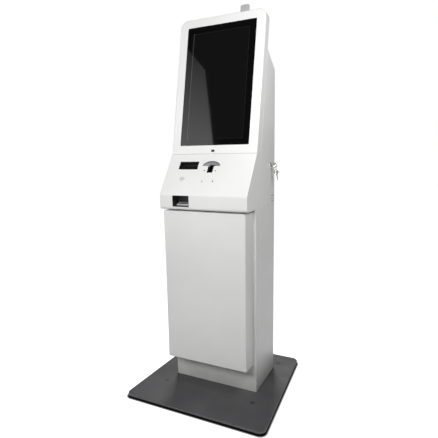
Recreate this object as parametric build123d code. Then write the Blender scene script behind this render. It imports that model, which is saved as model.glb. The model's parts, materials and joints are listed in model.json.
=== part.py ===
from build123d import *
from math import atan2, cos, degrees, hypot, radians, sin, tan
import os

os.makedirs("parts", exist_ok=True)

# Ticket vending machine: a self-service kiosk that stands on a steel plate.
# Millimetres. X to the right as the user sees it, Y towards the back, Z up.
# The origin is on the floor, under the centre of the base plate.

# ---- base ----
plate_front_width = 660.0
plate_back_width = 590.0
plate_front_overhang = 248.0  # plate in front of the column
plate_back_overhang = 130.0  # plate behind the column
plate_thickness = 8.0
plate_corner = 28.0
foot_height = 10.0
foot_radius = 26.0
foot_inset = 46.0
anchor_spacing_x = 436.0
anchor_spacing_y = 370.0
anchor_front = 81.0  # front anchor row, in front of the column
anchor_hole_radius = 7.0
cap_radius = 10.5
cap_gap = 0.7  # ring left open round a cap
cap_thickness = 3.0
cable_entry_radius = 30.0

# ---- sheet metal ----
sheet = 2.0
seam_radius = 1.5  # small bend that shows as a groove where two covers meet
seam_gap = 0.5
screw_radius = 3.0
screw_head_radius = 5.0
screw_head = 3.0
head_back_screw_spacing = 240.0

# ---- pedestal ----
column_width = 410.0
column_depth = 244.0
column_height = 826.0
column_bend = 3.0
column_flange = 30.0
door_width = 387.0
door_depth = 91.0  # how far the door's face stands in front of the column
door_bottom = 136.0  # above the plate
door_top_gap = 7.0  # under the head
door_gap = 2.0  # between the door's back edge and the column
door_bend = 4.0
door_flange = 12.0
door_opening_width = 340.0
door_opening_bottom = 160.0
door_opening_top_margin = 36.0
shelf_height = 430.0
shelf_front_gap = 40.0  # room for cables in front of the shelf

# ---- hinges ----
barrel_radius = 4.0
pin_radius = 2.0
pin_head = 1.5
running_gap = 0.05
knuckle_gap = 0.6
door_hinge_length = 60.0
door_hinge_inset = 90.0
rear_hinge_length = 50.0
rear_hinge_inset = 70.0

# ---- head ----
lip_overhang = 100.0  # lip's face, in front of the column
lip_height = 64.5
lip_bend = 16.0
lip_bottom_bend = 11.0
console_top_back = 14.0  # foot of the slab, behind the column's face
console_rise = 234.5  # foot of the slab, above the column
slab_tilt = 11.0
slab_length = 610.0
slab_thickness = 45.0
slab_corner = 34.0
slab_bend = 4.0
roof_front_height = 672.0
roof_back_height = 602.0
rear_opening_margin = 15.0
rear_opening_bottom = 26.0
rear_door_depth = 14.0
rear_door_gap = 1.5

# ---- display ----
glass_window_width = 331.0
glass_window_margin = 38.2  # from both ends of the slab
glass_window_corner = 5.0
glass_overlap = 7.0
glass_thickness = 4.0
gasket_thickness = 1.0
active_width = 268.7
active_height = 475.8
active_bottom = 66.8
panel_border = 11.0
panel_thickness = 12.0
sensor_width = 16.0
sensor_height = 11.0
sensor_rise = 14.0
camera_x = 0.0
camera_rise = 564.0
camera_radius = 2.5

# ---- console fittings ----
slot_x = -101.0
reader_width = 94.5
reader_height = 39.6
reader_rise = 146.2
reader_depth = 28.0
outlet_width = 80.5
outlet_height = 48.5
outlet_bottom = 12.8
outlet_depth = 50.0
terminal_x = 9.0
terminal_slot_width = 27.0
terminal_slot_bottom = 111.0
terminal_scoop_width = 84.0
terminal_scoop_base = 144.0
terminal_scoop_height = 25.0
terminal_scoop_depth = 13.0
terminal_hole_spacing = 52.0
terminal_hole_radius = 3.0
terminal_hole_rise = 95.0
mark_x = -116.0
mark_rise = 78.0
mark_width = 34.0
mark_height = 26.0
mark_depth = 0.5

# ---- printer ----
paper_width = 76.0
roll_radius = 38.0
spindle_radius = 6.0
platen_radius = 8.0
paper_rise = 21.0  # paper's path above the console's underside
printer_length = 190.0
printer_side = 2.0
cutter_travel = 6.0

# ---- lock ----
lock_rise = 181.0
lock_from_back = 58.0
lock_body_radius = 9.5
lock_plug_radius = 6.0
lock_body_length = 24.0
lock_flange_radius = 11.5
lock_flange = 3.0
cam_length = 38.0
cam_width = 14.0
cam_thickness = 2.5
key_thickness = 2.2
bow_radius = 11.0
bow_hole_radius = 3.0
ring_radius = 10.5
ring_wire = 0.8
ring_play = 0.4
spare_tilt = 12.0  # the spare key hangs a little away from the wall
spare_blade_length = 27.0
key_blade_width = 6.0

# ---- ventilation ----
vent_radius = 3.2
vent_rows = 3
vent_columns = 4
vent_pitch_y = 11.0
vent_pitch_z = 13.5
vent_from_back = 14.0
vent_rise = 14.5
fan_size = 50.0
fan_depth = 15.0
fan_hub_radius = 9.0
fan_tip_gap = 1.2
fan_axle_radius = 1.5
fan_blades = 7

# ---- mains and network ----
inlet_x = -120.0
inlet_rise = 90.0
inlet_width = 48.0
inlet_height = 62.0
inlet_depth = 30.0
inlet_flange = 3.0
rocker_width = 19.0
rocker_height = 12.0
rocker_tilt = 7.0
gland_x = -60.0
gland_thread_radius = 10.0
gland_bore_radius = 4.0

# ---- aerial ----
aerial_x = 86.0
aerial_width = 45.0
aerial_thickness = 11.0
aerial_height = 110.0
aerial_above_slab = 55.0

# ---- places that follow from the sizes above ----
half_width = column_width / 2
plate_depth = plate_front_overhang + column_depth + plate_back_overhang
plate_top = foot_height + plate_thickness
face_y = plate_front_overhang - plate_depth / 2
back_y = face_y + column_depth
seam_z = plate_top + column_height
lip_y = face_y - lip_overhang
slab_foot_y = face_y + console_top_back
slab_foot_z = seam_z + console_rise
lean = radians(slab_tilt)
slope_y = slab_foot_y - lip_y
slope_z = console_rise - lip_height
slope_length = hypot(slope_y, slope_z)

slab_plane = Plane(
    origin=(0, slab_foot_y, slab_foot_z),
    x_dir=(1, 0, 0),
    z_dir=(0, -cos(lean), sin(lean)),
)
slope_plane = Plane(
    origin=(0, lip_y, seam_z + lip_height),
    x_dir=(1, 0, 0),
    z_dir=(0, -slope_z / slope_length, slope_y / slope_length),
)


def slab_back_y(z, extra=0.0):
    """Y of the slab's back plane at height z, moved back by extra."""
    foot_y = slab_foot_y + (slab_thickness + extra) / cos(lean)
    return foot_y + (z - slab_foot_z) * tan(lean)


# ---------------------------------------------------------------- helpers
def block(x, y, z):
    """Box between (low, high) pairs."""
    size = (x[1] - x[0], y[1] - y[0], z[1] - z[0])
    return Pos(x[0], y[0], z[0]) * Box(*size, align=(Align.MIN, Align.MIN, Align.MIN))


def rod(radius, start, end):
    axis = Vector(*end) - Vector(*start)
    straight = Cylinder(radius, axis.length, align=(Align.CENTER, Align.CENTER, Align.MIN))
    return Plane(origin=start, z_dir=axis) * straight


def span(middle, size):
    return (middle - size / 2, middle + size / 2)


def prism(outline, x):
    """An outline drawn in (y, z), extruded over the (low, high) pair x."""
    return Pos(x[0], 0, 0) * extrude(Plane.YZ * outline, x[1] - x[0])


def polygon(points):
    return Polygon(*points, align=None)


def rounded(outline, corner, radius):
    """Round the outline's vertex that lies nearest to corner."""
    nearest = min(outline.vertices(), key=lambda v: hypot(v.X - corner[0], v.Y - corner[1]))
    return fillet([nearest], radius)


def shifted(points, moves):
    """Move each edge of a counter-clockwise outline inwards by its own distance."""
    edges = []
    for i, move in enumerate(moves):
        (y0, z0), (y1, z1) = points[i], points[(i + 1) % len(points)]
        length = hypot(y1 - y0, z1 - z0)
        dy = (y1 - y0) / length
        dz = (z1 - z0) / length
        edges.append((y0 - dz * move, z0 + dy * move, dy, dz))
    corners = []
    for i, (y1, z1, dy1, dz1) in enumerate(edges):
        y0, z0, dy0, dz0 = edges[i - 1]
        along = ((y1 - y0) * dz1 - (z1 - z0) * dy1) / (dy0 * dz1 - dz0 * dy1)
        corners.append((y0 + dy0 * along, z0 + dz0 * along))
    return corners


def screw_at(plane, length):
    """Pan-head screw; the plane's Z points out of the head, its origin is under the head."""
    shank = Cylinder(screw_radius, length, align=(Align.CENTER, Align.CENTER, Align.MAX))
    head = Cylinder(screw_head_radius, screw_head, align=(Align.CENTER, Align.CENTER, Align.MIN))
    head = fillet(head.edges().group_by(Axis.Z)[-1], screw_head / 2)
    socket = Pos(0, 0, screw_head) * extrude(RegularPolygon(screw_radius * 0.7, 6), -screw_head * 0.6)
    return plane * (shank + head - socket)


# ---------------------------------------------------------------- base
anchor_y = (face_y - anchor_front, face_y - anchor_front + anchor_spacing_y)
anchor_places = [(x, y) for y in anchor_y for x in span(0, anchor_spacing_x)]
column_screw_x = half_width - column_flange / 2
column_screw_y = (face_y + column_flange / 2, back_y - column_flange / 2)
column_screw_places = [(x, y) for y in column_screw_y for x in (-column_screw_x, 0, column_screw_x)]
cable_entry_y = (face_y + back_y) / 2


def plate_outline():
    front = -plate_depth / 2
    back = plate_depth / 2
    corners = [
        (-plate_front_width / 2, front),
        (plate_front_width / 2, front),
        (plate_back_width / 2, back),
        (-plate_back_width / 2, back),
    ]
    return fillet(polygon(corners).vertices(), plate_corner)


def base_plate():
    plate = Pos(0, 0, foot_height) * extrude(plate_outline(), plate_thickness)
    plate = chamfer(plate.edges().group_by(Axis.Z)[-1], 1)
    for x, y in anchor_places:
        plate -= rod(anchor_hole_radius, (x, y, foot_height - 1), (x, y, plate_top + 1))
        plate -= rod(cap_radius + cap_gap, (x, y, plate_top - cap_thickness), (x, y, plate_top + 1))
    for x, y in column_screw_places:
        plate -= rod(screw_radius, (x, y, foot_height - 1), (x, y, plate_top + 1))
    plate -= rod(cable_entry_radius, (0, cable_entry_y, 0), (0, cable_entry_y, plate_top + 1))
    return plate


foot_taper = (plate_front_width - plate_back_width) / 2 * foot_inset / plate_depth
foot_front_x = plate_front_width / 2 - foot_taper - foot_inset
foot_back_x = plate_back_width / 2 + foot_taper - foot_inset
foot_y = plate_depth / 2 - foot_inset


def base_feet():
    feet = []
    places = [(side * foot_front_x, -foot_y) for side in (-1, 1)]
    places += [(side * foot_back_x, foot_y) for side in (-1, 1)]
    for x, y in places:
        foot = rod(foot_radius, (x, y, 0), (x, y, foot_height))
        feet.append(chamfer(foot.edges().group_by(Axis.Z)[0], 1.5))
    return Compound(children=feet)


def anchor_caps():
    caps = []
    for x, y in anchor_places:
        cap = rod(cap_radius, (x, y, plate_top - cap_thickness), (x, y, plate_top))
        caps.append(chamfer(cap.edges().group_by(Axis.Z)[-1], 0.5))
    return Compound(children=caps)


def frame_screws():
    """Screws through the column's bottom flange into the plate, and down through the head's floor."""
    screws = []
    for x, y in column_screw_places:
        under_head = Plane(origin=(x, y, plate_top + sheet))
        screws.append(screw_at(under_head, sheet + plate_thickness))
    for x, y in head_screw_places():
        screws.append(screw_at(Plane(origin=(x, y, seam_z + sheet)), sheet * 2))
    return Compound(children=screws)


# ---------------------------------------------------------------- pedestal
door_face_y = face_y - door_depth
door_z = (plate_top + door_bottom, seam_z - door_top_gap)
door_opening_z = (plate_top + door_opening_bottom, seam_z - door_opening_top_margin)
door_axis_x = -door_width / 2 + barrel_radius
door_axis_y = face_y - door_gap - barrel_radius - 1.0
door_hinge_z = (door_z[0] + door_hinge_inset, door_z[1] - door_hinge_inset)


def pedestal_shell():
    outer = block(span(0, column_width), (face_y, back_y), (plate_top, seam_z))
    outer = fillet(outer.edges().filter_by(Axis.Z), column_bend)
    outer = fillet(outer.edges().group_by(Axis.Z)[-1], seam_radius)
    inside_y = (face_y + sheet, back_y - sheet)
    inner = block(span(0, column_width - 2 * sheet), inside_y, (plate_top + sheet, seam_z - sheet))
    mouth_y = (inside_y[0] + column_flange, inside_y[1] - column_flange)
    mouth_x = span(0, column_width - 2 * (sheet + column_flange))
    shell = outer - inner
    shell -= block(mouth_x, mouth_y, (plate_top - 1, seam_z + 1))
    shell -= block(span(0, door_opening_width), (face_y - 1, face_y + sheet + 1), door_opening_z)
    for x, y in column_screw_places:
        shell -= rod(screw_radius, (x, y, plate_top - 1), (x, y, plate_top + sheet + 1))
    for x, y in head_screw_places():
        shell -= rod(screw_radius, (x, y, seam_z - sheet - 1), (x, y, seam_z + 1))
    inlet_hole = block(
        span(inlet_x, inlet_width + 0.6),
        (back_y - sheet - 1, back_y + 1),
        span(plate_top + inlet_rise, inlet_height + 0.6),
    )
    gland_z = plate_top + inlet_rise
    gland_hole = rod(gland_thread_radius + 0.1, (gland_x, back_y - sheet - 1, gland_z), (gland_x, back_y + 1, gland_z))
    return shell - inlet_hole - gland_hole


def pedestal_door():
    """A deep tray, open at the back, with return flanges at the top, bottom and right."""
    back = face_y - door_gap
    outer = block(span(0, door_width), (door_face_y, back), door_z)
    upright = outer.edges().filter_by(Axis.Z).group_by(Axis.Y)[0]
    level = outer.edges().filter_by(Axis.X).group_by(Axis.Y)[0]
    outer = fillet(upright + level, door_bend)
    left = -door_width / 2 + sheet
    right = door_width / 2 - sheet
    inside_z = (door_z[0] + sheet, door_z[1] - sheet)
    tray = outer - block((left, right), (door_face_y + sheet, back - sheet), inside_z)
    mouth_z = (inside_z[0] + door_flange, inside_z[1] - door_flange)
    tray -= block((left, right - door_flange), (back - sheet - 1, back + 1), mouth_z)
    clear = barrel_radius + knuckle_gap
    notch_y = (door_axis_y - clear, back + 1)
    for z in door_hinge_z:
        notch_z = span(z, door_hinge_length + 2 * (pin_head + knuckle_gap))
        tray -= block((left - sheet - 1, left + 0.01), notch_y, notch_z)
    return tray


def door_stiffener():
    """Hat-shaped rail up the middle of the door's inner face."""
    inner_face = door_face_y + sheet
    rail_z = (door_z[0] + sheet + 20, door_z[1] - sheet - 20)
    crown = block(span(0, 50), (inner_face, inner_face + 22), rail_z)
    crown -= block(span(0, 50 - 2 * sheet), (inner_face - 1, inner_face + 22 - sheet), (rail_z[0] - 1, rail_z[1] + 1))
    brim = block(span(0, 90), (inner_face, inner_face + sheet), rail_z)
    brim -= block(span(0, 50 - 2 * sheet), (inner_face - 1, inner_face + 5), (rail_z[0] - 1, rail_z[1] + 1))
    return crown + brim


def knuckle(axis_xy, z):
    """Barrel over the (low, high) pair z, before it is bored."""
    return rod(barrel_radius, (*axis_xy, z[0]), (*axis_xy, z[1]))


def hinge_thirds(z, length):
    """Heights of the lower, middle and upper knuckles of a hinge."""
    low = z - length / 2
    third = length / 3
    return (
        (low, low + third - knuckle_gap / 2),
        (low + third + knuckle_gap / 2, low + 2 * third - knuckle_gap / 2),
        (low + 2 * third + knuckle_gap / 2, low + length),
    )


def hinge_bore(axis_xy, z, length, radius):
    return rod(radius, (*axis_xy, z - length), (*axis_xy, z + length))


def door_frame_leaves():
    leaves = []
    axis = (door_axis_x, door_axis_y)
    leaf_front = door_axis_y + barrel_radius + 0.4
    leaf_right = -door_opening_width / 2 - 1.5
    for z in door_hinge_z:
        lower, _, upper = hinge_thirds(z, door_hinge_length)
        leaf = block((door_axis_x, leaf_right), (leaf_front, face_y), span(z, door_hinge_length))
        for part in (lower, upper):
            leaf += knuckle(axis, part)
            leaf += block((door_axis_x, door_axis_x + barrel_radius), (door_axis_y, face_y), part)
        leaves.append(leaf - hinge_bore(axis, z, door_hinge_length, pin_radius))
    return Compound(children=leaves)


def door_leaves():
    leaves = []
    axis = (door_axis_x, door_axis_y)
    wall = -door_width / 2 + sheet
    clear = barrel_radius + knuckle_gap
    for z in door_hinge_z:
        _, middle, _ = hinge_thirds(z, door_hinge_length)
        leaf = block((wall, wall + sheet), (door_axis_y - 34, door_axis_y - clear), span(z, door_hinge_length - 4))
        leaf += block((wall, wall + sheet), (door_axis_y - clear - 1, door_axis_y), middle)
        leaf += knuckle(axis, middle)
        leaves.append(leaf - hinge_bore(axis, z, door_hinge_length, pin_radius + running_gap))
    return Compound(children=leaves)


def hinge_pins(axis_xy, heights, length):
    pins = []
    for z in heights:
        pin = rod(pin_radius, (*axis_xy, z - length / 2), (*axis_xy, z + length / 2))
        head = rod(pin_radius + 1.2, (*axis_xy, z + length / 2), (*axis_xy, z + length / 2 + pin_head))
        pins.append(pin + head)
    return Compound(children=pins)


def magnetic_catches():
    """Flat magnets on the column's face that hold the door's steel flange."""
    catches = []
    middle_x = door_width / 2 - sheet - door_flange / 2
    for z in door_hinge_z:
        body = block(span(middle_x, door_flange - 2), (face_y - door_gap + 0.3, face_y), span(z, 50))
        catches.append(fillet(body.edges().filter_by(Axis.Y), 2))
    return Compound(children=catches)


shelf_z = plate_top + shelf_height
shelf_depth = column_depth - 2 * sheet - shelf_front_gap
mini_pc_depth = shelf_depth - 20
power_supply_depth = shelf_depth - 40
shelf_y = (back_y - sheet - shelf_depth, back_y - sheet)
shelf_middle_y = (shelf_y[0] + shelf_y[1]) / 2


def equipment_shelf():
    width = column_width - 2 * sheet
    tray = block(span(0, width), shelf_y, (shelf_z - 24, shelf_z))
    hollow_y = (shelf_y[0] + sheet, shelf_y[1] - sheet)
    tray -= block(span(0, width - 2 * sheet), hollow_y, (shelf_z - 25, shelf_z - sheet))
    for x in (-120, 0, 120):
        tray -= block(span(x, 60), (shelf_y[1] - 40, shelf_y[1] - 20), (shelf_z - 5, shelf_z + 1))
    return tray


def mini_pc():
    middle_y = shelf_middle_y - 10
    body = block(span(95, 180), span(middle_y, mini_pc_depth), (shelf_z + 4, shelf_z + 49))
    body = fillet(body.edges().filter_by(Axis.Z), 12)
    body = fillet(body.edges().group_by(Axis.Z)[-1], 2)
    front, back = span(middle_y, mini_pc_depth)
    for x in (40, 60, 80):
        body -= block(span(x, 13), (front - 1, front + 8), (shelf_z + 14, shelf_z + 20))
    for x in (25, 165):
        for y in (front + 20, back - 20):
            body += rod(8, (x, y, shelf_z), (x, y, shelf_z + 4.5))
    return body


def power_supply():
    """Enclosed switched-mode supply with a perforated lid and a terminal block."""
    front, back = span(shelf_middle_y - 15, power_supply_depth)
    case = block(span(-110, 98), (front, back), (shelf_z, shelf_z + 40))
    case = fillet(case.edges().filter_by(Axis.Z), 1)
    case -= block(span(-110, 90), (front - 1, front + 18), (shelf_z + 14, shelf_z + 41))
    for i in range(int((power_supply_depth - 60) / 14) + 1):
        for j in range(5):
            place = (-110 + (j - 2) * 16, front + 40 + i * 14)
            case -= rod(3, (*place, shelf_z + 38), (*place, shelf_z + 41))
    for i in range(7):
        x = -110 + (i - 3) * 12
        case += block(span(x, 8), (front + 2, front + 19), (shelf_z + 13.5, shelf_z + 24))
    return case


# ---------------------------------------------------------------- mains and network
inlet_z = plate_top + inlet_rise
rocker_z = inlet_z + inlet_height / 2 - 12
rocker_axis_y = back_y - 3.0


def power_inlet():
    """Mains inlet with its socket below and a pocket for the rocker switch above."""
    body = block(span(inlet_x, inlet_width), (back_y - inlet_depth, back_y), span(inlet_z, inlet_height))
    flange = block(span(inlet_x, inlet_width + 8), (back_y, back_y + inlet_flange), span(inlet_z, inlet_height + 8))
    module = body + fillet(flange.edges().filter_by(Axis.Y), 3)
    socket_z = inlet_z - 12
    socket = block(span(inlet_x, 26), (back_y - 18, back_y + inlet_flange + 1), span(socket_z, 18))
    module -= chamfer(socket.edges().filter_by(Axis.Y).group_by(Axis.Z)[-1], 4)
    for x, z in ((-7, -2), (7, -2), (0, 3)):
        module += block(span(inlet_x + x, 2), (back_y - 20, back_y - 3), span(socket_z + z, 5))
    pocket_y = (rocker_axis_y - 9, back_y + inlet_flange + 1)
    module -= block(span(inlet_x, rocker_width + 1), pocket_y, span(rocker_z, rocker_height + 2.4))
    return module - rod(
        1.5 + running_gap,
        (inlet_x - rocker_width / 2 - 2.5, rocker_axis_y, rocker_z),
        (inlet_x + rocker_width / 2 + 2.5, rocker_axis_y, rocker_z),
    )


def mains_rocker():
    """Rocker on its pin, at rest with its lower end in."""
    half = rocker_height / 2
    profile = polygon([(-4, -half), (5.5, -half), (4, 0), (7, half), (-4, half)])
    tilted = Rot(0, 0, rocker_tilt) * profile
    body = prism(Pos(rocker_axis_y, rocker_z) * tilted, span(inlet_x, rocker_width))
    pin_x = rocker_width / 2 + 2
    return body + rod(1.5, (inlet_x - pin_x, rocker_axis_y, rocker_z), (inlet_x + pin_x, rocker_axis_y, rocker_z))


def cable_gland():
    """Gland for the network cable, open right through."""
    centre = (gland_x, back_y, inlet_z)
    body = rod(gland_thread_radius, (gland_x, back_y - 14, inlet_z), centre)
    outside = Plane(origin=centre, x_dir=(1, 0, 0), z_dir=(0, 1, 0))
    inside = Plane(origin=(gland_x, back_y - sheet, inlet_z), x_dir=(1, 0, 0), z_dir=(0, -1, 0))
    body += outside * extrude(RegularPolygon(13.5, 6), 6)
    body += rod(11, (gland_x, back_y + 6, inlet_z), (gland_x, back_y + 16, inlet_z))
    body += inside * extrude(RegularPolygon(14, 6), 5)
    return body - rod(gland_bore_radius, (gland_x, back_y - 15, inlet_z), (gland_x, back_y + 17, inlet_z))


# ---------------------------------------------------------------- head shell
head_front = seam_gap
head_outline_points = [
    (slab_back_y(seam_z, head_front), seam_z),
    (back_y, seam_z),
    (back_y, seam_z + roof_back_height),
    (slab_back_y(seam_z + roof_front_height, head_front), seam_z + roof_front_height),
]
lock_y = back_y - lock_from_back
lock_z = seam_z + lock_rise
vent_places = [
    (back_y - vent_from_back - column * vent_pitch_y, seam_z + vent_rise + row * vent_pitch_z)
    for row in range(vent_rows)
    for column in range(vent_columns)
]
fan_y = back_y - vent_from_back - (vent_columns - 1) * vent_pitch_y / 2
fan_z = seam_z + vent_rise + (vent_rows - 1) * vent_pitch_z / 2
rear_opening_x = span(0, column_width - 2 * (sheet + rear_opening_margin))
rear_opening_z = (seam_z + rear_opening_bottom, seam_z + roof_back_height - rear_opening_bottom)


def head_screw_places():
    front_edge = slab_back_y(seam_z, head_front)
    front_y = (front_edge + face_y + sheet + column_flange) / 2
    back_row_y = back_y - sheet - column_flange / 2
    front_row = [(x, front_y) for x in (-column_screw_x, column_screw_x)]
    return front_row + [(x, back_row_y) for x in span(0, head_back_screw_spacing)]


def head_shell():
    outer = prism(polygon(head_outline_points), span(0, column_width))
    outer = fillet(outer.edges(), seam_radius)
    hollow = polygon(shifted(head_outline_points, (sheet, sheet, sheet, -5)))
    shell = outer - prism(hollow, span(0, column_width - 2 * sheet))
    floor_y = (slab_back_y(seam_z) + 32, back_y - sheet - column_flange)
    shell -= block(span(0, column_width - 2 * (sheet + column_flange)), floor_y, (seam_z - 1, seam_z + sheet + 1))
    shell -= block(rear_opening_x, (back_y - sheet - 1, back_y + 1), rear_opening_z)
    for x, y in head_screw_places():
        shell -= rod(screw_radius, (x, y, seam_z - 1), (x, y, seam_z + sheet + 1))
    for y, z in vent_places:
        shell -= rod(vent_radius, (-half_width - 1, y, z), (half_width + 1, y, z))
    return shell - rod(
        lock_body_radius + 0.1, (half_width - sheet - 1, lock_y, lock_z), (half_width + 1, lock_y, lock_z)
    )


# ---------------------------------------------------------------- rear service door
rear_axis_x = rear_opening_x[0]
rear_axis_y = back_y + barrel_radius + 0.5
rear_hinge_z = (rear_opening_z[0] + rear_hinge_inset, rear_opening_z[1] - rear_hinge_inset)


def rear_door():
    x = (rear_opening_x[0] + rear_door_gap, rear_opening_x[1] - rear_door_gap)
    z = (rear_opening_z[0] + rear_door_gap, rear_opening_z[1] - rear_door_gap)
    outer = block(x, (back_y - rear_door_depth, back_y), z)
    outer = fillet(outer.edges().group_by(Axis.Y)[-1], seam_radius)
    hollow_x = (x[0] + sheet, x[1] - sheet)
    hollow_z = (z[0] + sheet, z[1] - sheet)
    door = outer - block(hollow_x, (back_y - rear_door_depth - 1, back_y - sheet), hollow_z)
    for i in range(6):
        slot_z = z[1] - 60 - i * 14
        slot = block(span(0, 160), (back_y - sheet - 1, back_y + 1), span(slot_z, 5))
        door -= fillet(slot.edges().filter_by(Axis.Y), 2.4)
    return door


def butt_leaves(towards, thirds_used, bore):
    """Flat outside leaves for the rear door; towards is -1 for the shell side, 1 for the door side."""
    leaves = []
    axis = (rear_axis_x, rear_axis_y)
    inner_x = rear_axis_x + towards * (barrel_radius + knuckle_gap)
    outer_x = rear_axis_x + towards * rear_opening_margin
    for z in rear_hinge_z:
        leaf = block(sorted((inner_x, outer_x)), (back_y, back_y + sheet), span(z, rear_hinge_length))
        thirds = hinge_thirds(z, rear_hinge_length)
        for index in thirds_used:
            link = sorted((rear_axis_x, rear_axis_x + towards * (barrel_radius + 1)))
            leaf += block(link, (back_y + 0.5, back_y + sheet + 0.5), thirds[index])
            leaf += knuckle(axis, thirds[index])
        leaves.append(leaf - hinge_bore(axis, z, rear_hinge_length, bore))
    return Compound(children=leaves)


cam_x = half_width - sheet - lock_body_length - cam_thickness
keeper_reach = rear_opening_x[1] - 9
keeper_z = (lock_z + cam_width / 2 + 6, lock_z + cam_length - 2)


def lock_keeper():
    """Bracket on the rear door; the lock's cam turns up in front of its hooked end."""
    arm_x = (keeper_reach - 17, keeper_reach - 17 + sheet)
    hook_y = lock_y - cam_width / 2 - 1.5 - sheet
    arm = block(arm_x, (hook_y, back_y - sheet), keeper_z)
    hook = block((arm_x[0], keeper_reach), (hook_y, hook_y + sheet), keeper_z)
    foot = block((arm_x[0] - 20, arm_x[1]), (back_y - 2 * sheet, back_y - sheet), (keeper_z[0] - 14, keeper_z[1] + 14))
    return arm + hook + foot


# ---------------------------------------------------------------- lock and keys
lock_face_x = half_width + lock_flange
bow_centre_x = lock_face_x + 17.0
bow_hole_x = bow_centre_x + bow_radius - bow_hole_radius - 2.0
wire_to_hole = bow_hole_radius - ring_wire - ring_play
ring_z = lock_z - wire_to_hole - ring_radius
spare_pivot_z = ring_z - ring_radius


def lock_barrel():
    start = half_width - sheet - lock_body_length
    body = rod(lock_body_radius, (start, lock_y, lock_z), (half_width, lock_y, lock_z))
    flange = rod(lock_flange_radius, (half_width, lock_y, lock_z), (lock_face_x, lock_y, lock_z))
    flange = fillet(flange.edges().group_by(Axis.X)[-1], 1)
    bore = rod(lock_plug_radius + running_gap, (start - 1, lock_y, lock_z), (lock_face_x + 1, lock_y, lock_z))
    return body + flange - bore


def lock_nut():
    plane = Plane(origin=(half_width - sheet, lock_y, lock_z), z_dir=(-1, 0, 0))
    return plane * (extrude(RegularPolygon(14, 6), 5) - extrude(Circle(lock_body_radius), 5))


def lock_plug():
    """Turning core of the lock, with a keyway and a square end for the cam."""
    start = cam_x + cam_thickness
    core = rod(lock_plug_radius, (start, lock_y, lock_z), (lock_face_x - 0.4, lock_y, lock_z))
    square = block((cam_x - 2, start), span(lock_y, 6), span(lock_z, 6))
    keyway = block(
        (start + 2, lock_face_x + 1),
        span(lock_y, key_thickness + 0.4),
        span(lock_z, key_blade_width + 0.6),
    )
    return core + square - keyway


def lock_cam():
    """Flat cam, pointing back at rest: the lock is open."""
    tip = block((cam_x, cam_x + cam_thickness), (lock_y, lock_y + cam_length - cam_width / 2), span(lock_z, cam_width))
    for y in (lock_y, lock_y + cam_length - cam_width / 2):
        tip += rod(cam_width / 2, (cam_x, y, lock_z), (cam_x + cam_thickness, y, lock_z))
    return tip - block((cam_x - 1, cam_x + 4), span(lock_y, 6.1), span(lock_z, 6.1))


def key_shape(bow, hole, tip, blade_half):
    """Key in the XZ plane: a round bow with its ring hole, a shank and a bitted blade along the line to the tip."""
    plane = Plane(origin=(bow[0], lock_y, bow[1]), x_dir=(1, 0, 0), z_dir=(0, -1, 0))
    angle = degrees(atan2(tip[1] - bow[1], tip[0] - bow[0]))
    length = hypot(tip[0] - bow[0], tip[1] - bow[1])
    blade = [(0, -blade_half), (length - 3, -blade_half), (length, 0)]
    teeth = 5
    pitch = (length - bow_radius - 7) / teeth
    for i in range(teeth):
        end = length - 3 - i * pitch
        blade += [(end, blade_half), (end - pitch / 2, blade_half - 1.0 - 0.4 * (i % 2))]
    blade += [(bow_radius + 3, blade_half), (0, blade_half)]
    flat = Circle(bow_radius) + Rot(0, 0, angle) * make_face(Polyline(*blade, close=True))
    key = extrude(plane * flat, key_thickness / 2, both=True)
    key = key - rod(bow_hole_radius, (hole[0], lock_y - 5, hole[1]), (hole[0], lock_y + 5, hole[1]))
    return key


def lock_key():
    tip_x = cam_x + cam_thickness + 3
    return key_shape((bow_centre_x, lock_z), (bow_hole_x, lock_z), (tip_x, lock_z), key_blade_width / 2)


def key_ring():
    ring = Torus(ring_radius, ring_wire)
    return Plane(origin=(bow_hole_x, lock_y, ring_z), z_dir=(1, 0, 0)) * ring


def spare_key():
    down = Vector(sin(radians(spare_tilt)), 0, -cos(radians(spare_tilt)))
    pivot = Vector(bow_hole_x, 0, spare_pivot_z)
    hole = pivot + down * wire_to_hole
    bow = hole + down * (bow_hole_x - bow_centre_x)
    tip = bow + down * (bow_radius + spare_blade_length)
    return key_shape((bow.X, bow.Z), (hole.X, hole.Z), (tip.X, tip.Z), key_blade_width / 2)


# ---------------------------------------------------------------- fan
def fan_frame():
    """Square fan frame on the right wall, with a three-armed spider that carries the axle."""
    x = (half_width - sheet - fan_depth, half_width - sheet)
    frame = block(x, span(fan_y, fan_size), span(fan_z, fan_size))
    frame = fillet(frame.edges().filter_by(Axis.X), 3)
    bore = fan_size / 2 - 2
    frame -= rod(bore, (x[0] - 1, fan_y, fan_z), (x[1] + 1, fan_y, fan_z))
    for i in range(3):
        arm = block((x[0], x[0] + 2), (0, bore + 0.5), span(0, 3))
        frame += Pos(0, fan_y, fan_z) * Rot(90 + i * 120, 0, 0) * arm
    frame += rod(fan_hub_radius, (x[0], fan_y, fan_z), (x[0] + 2, fan_y, fan_z))
    return frame + rod(fan_axle_radius, (x[0], fan_y, fan_z), (x[1] - 3, fan_y, fan_z))


def fan_rotor():
    x = (half_width - sheet - fan_depth + 2.6, half_width - sheet - 1.5)
    hub = rod(fan_hub_radius, (x[0], fan_y, fan_z), (x[1], fan_y, fan_z))
    tip = fan_size / 2 - 2 - fan_tip_gap
    blade = block(span(0, x[1] - x[0] - 1.2), (fan_hub_radius - 1.5, tip - 1.5), span(0, 1.2))
    blade = Rot(0, 35, 0) * blade
    for i in range(fan_blades):
        turned = Rot(i * 360 / fan_blades, 0, 0) * blade
        hub += Pos((x[0] + x[1]) / 2, fan_y, fan_z) * turned
    reach = rod(tip, (x[0], fan_y, fan_z), (x[1], fan_y, fan_z))
    hollow = rod(fan_axle_radius + running_gap, (x[0] - 1, fan_y, fan_z), (x[1] - 1.4, fan_y, fan_z))
    return (hub & reach) - hollow


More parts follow.
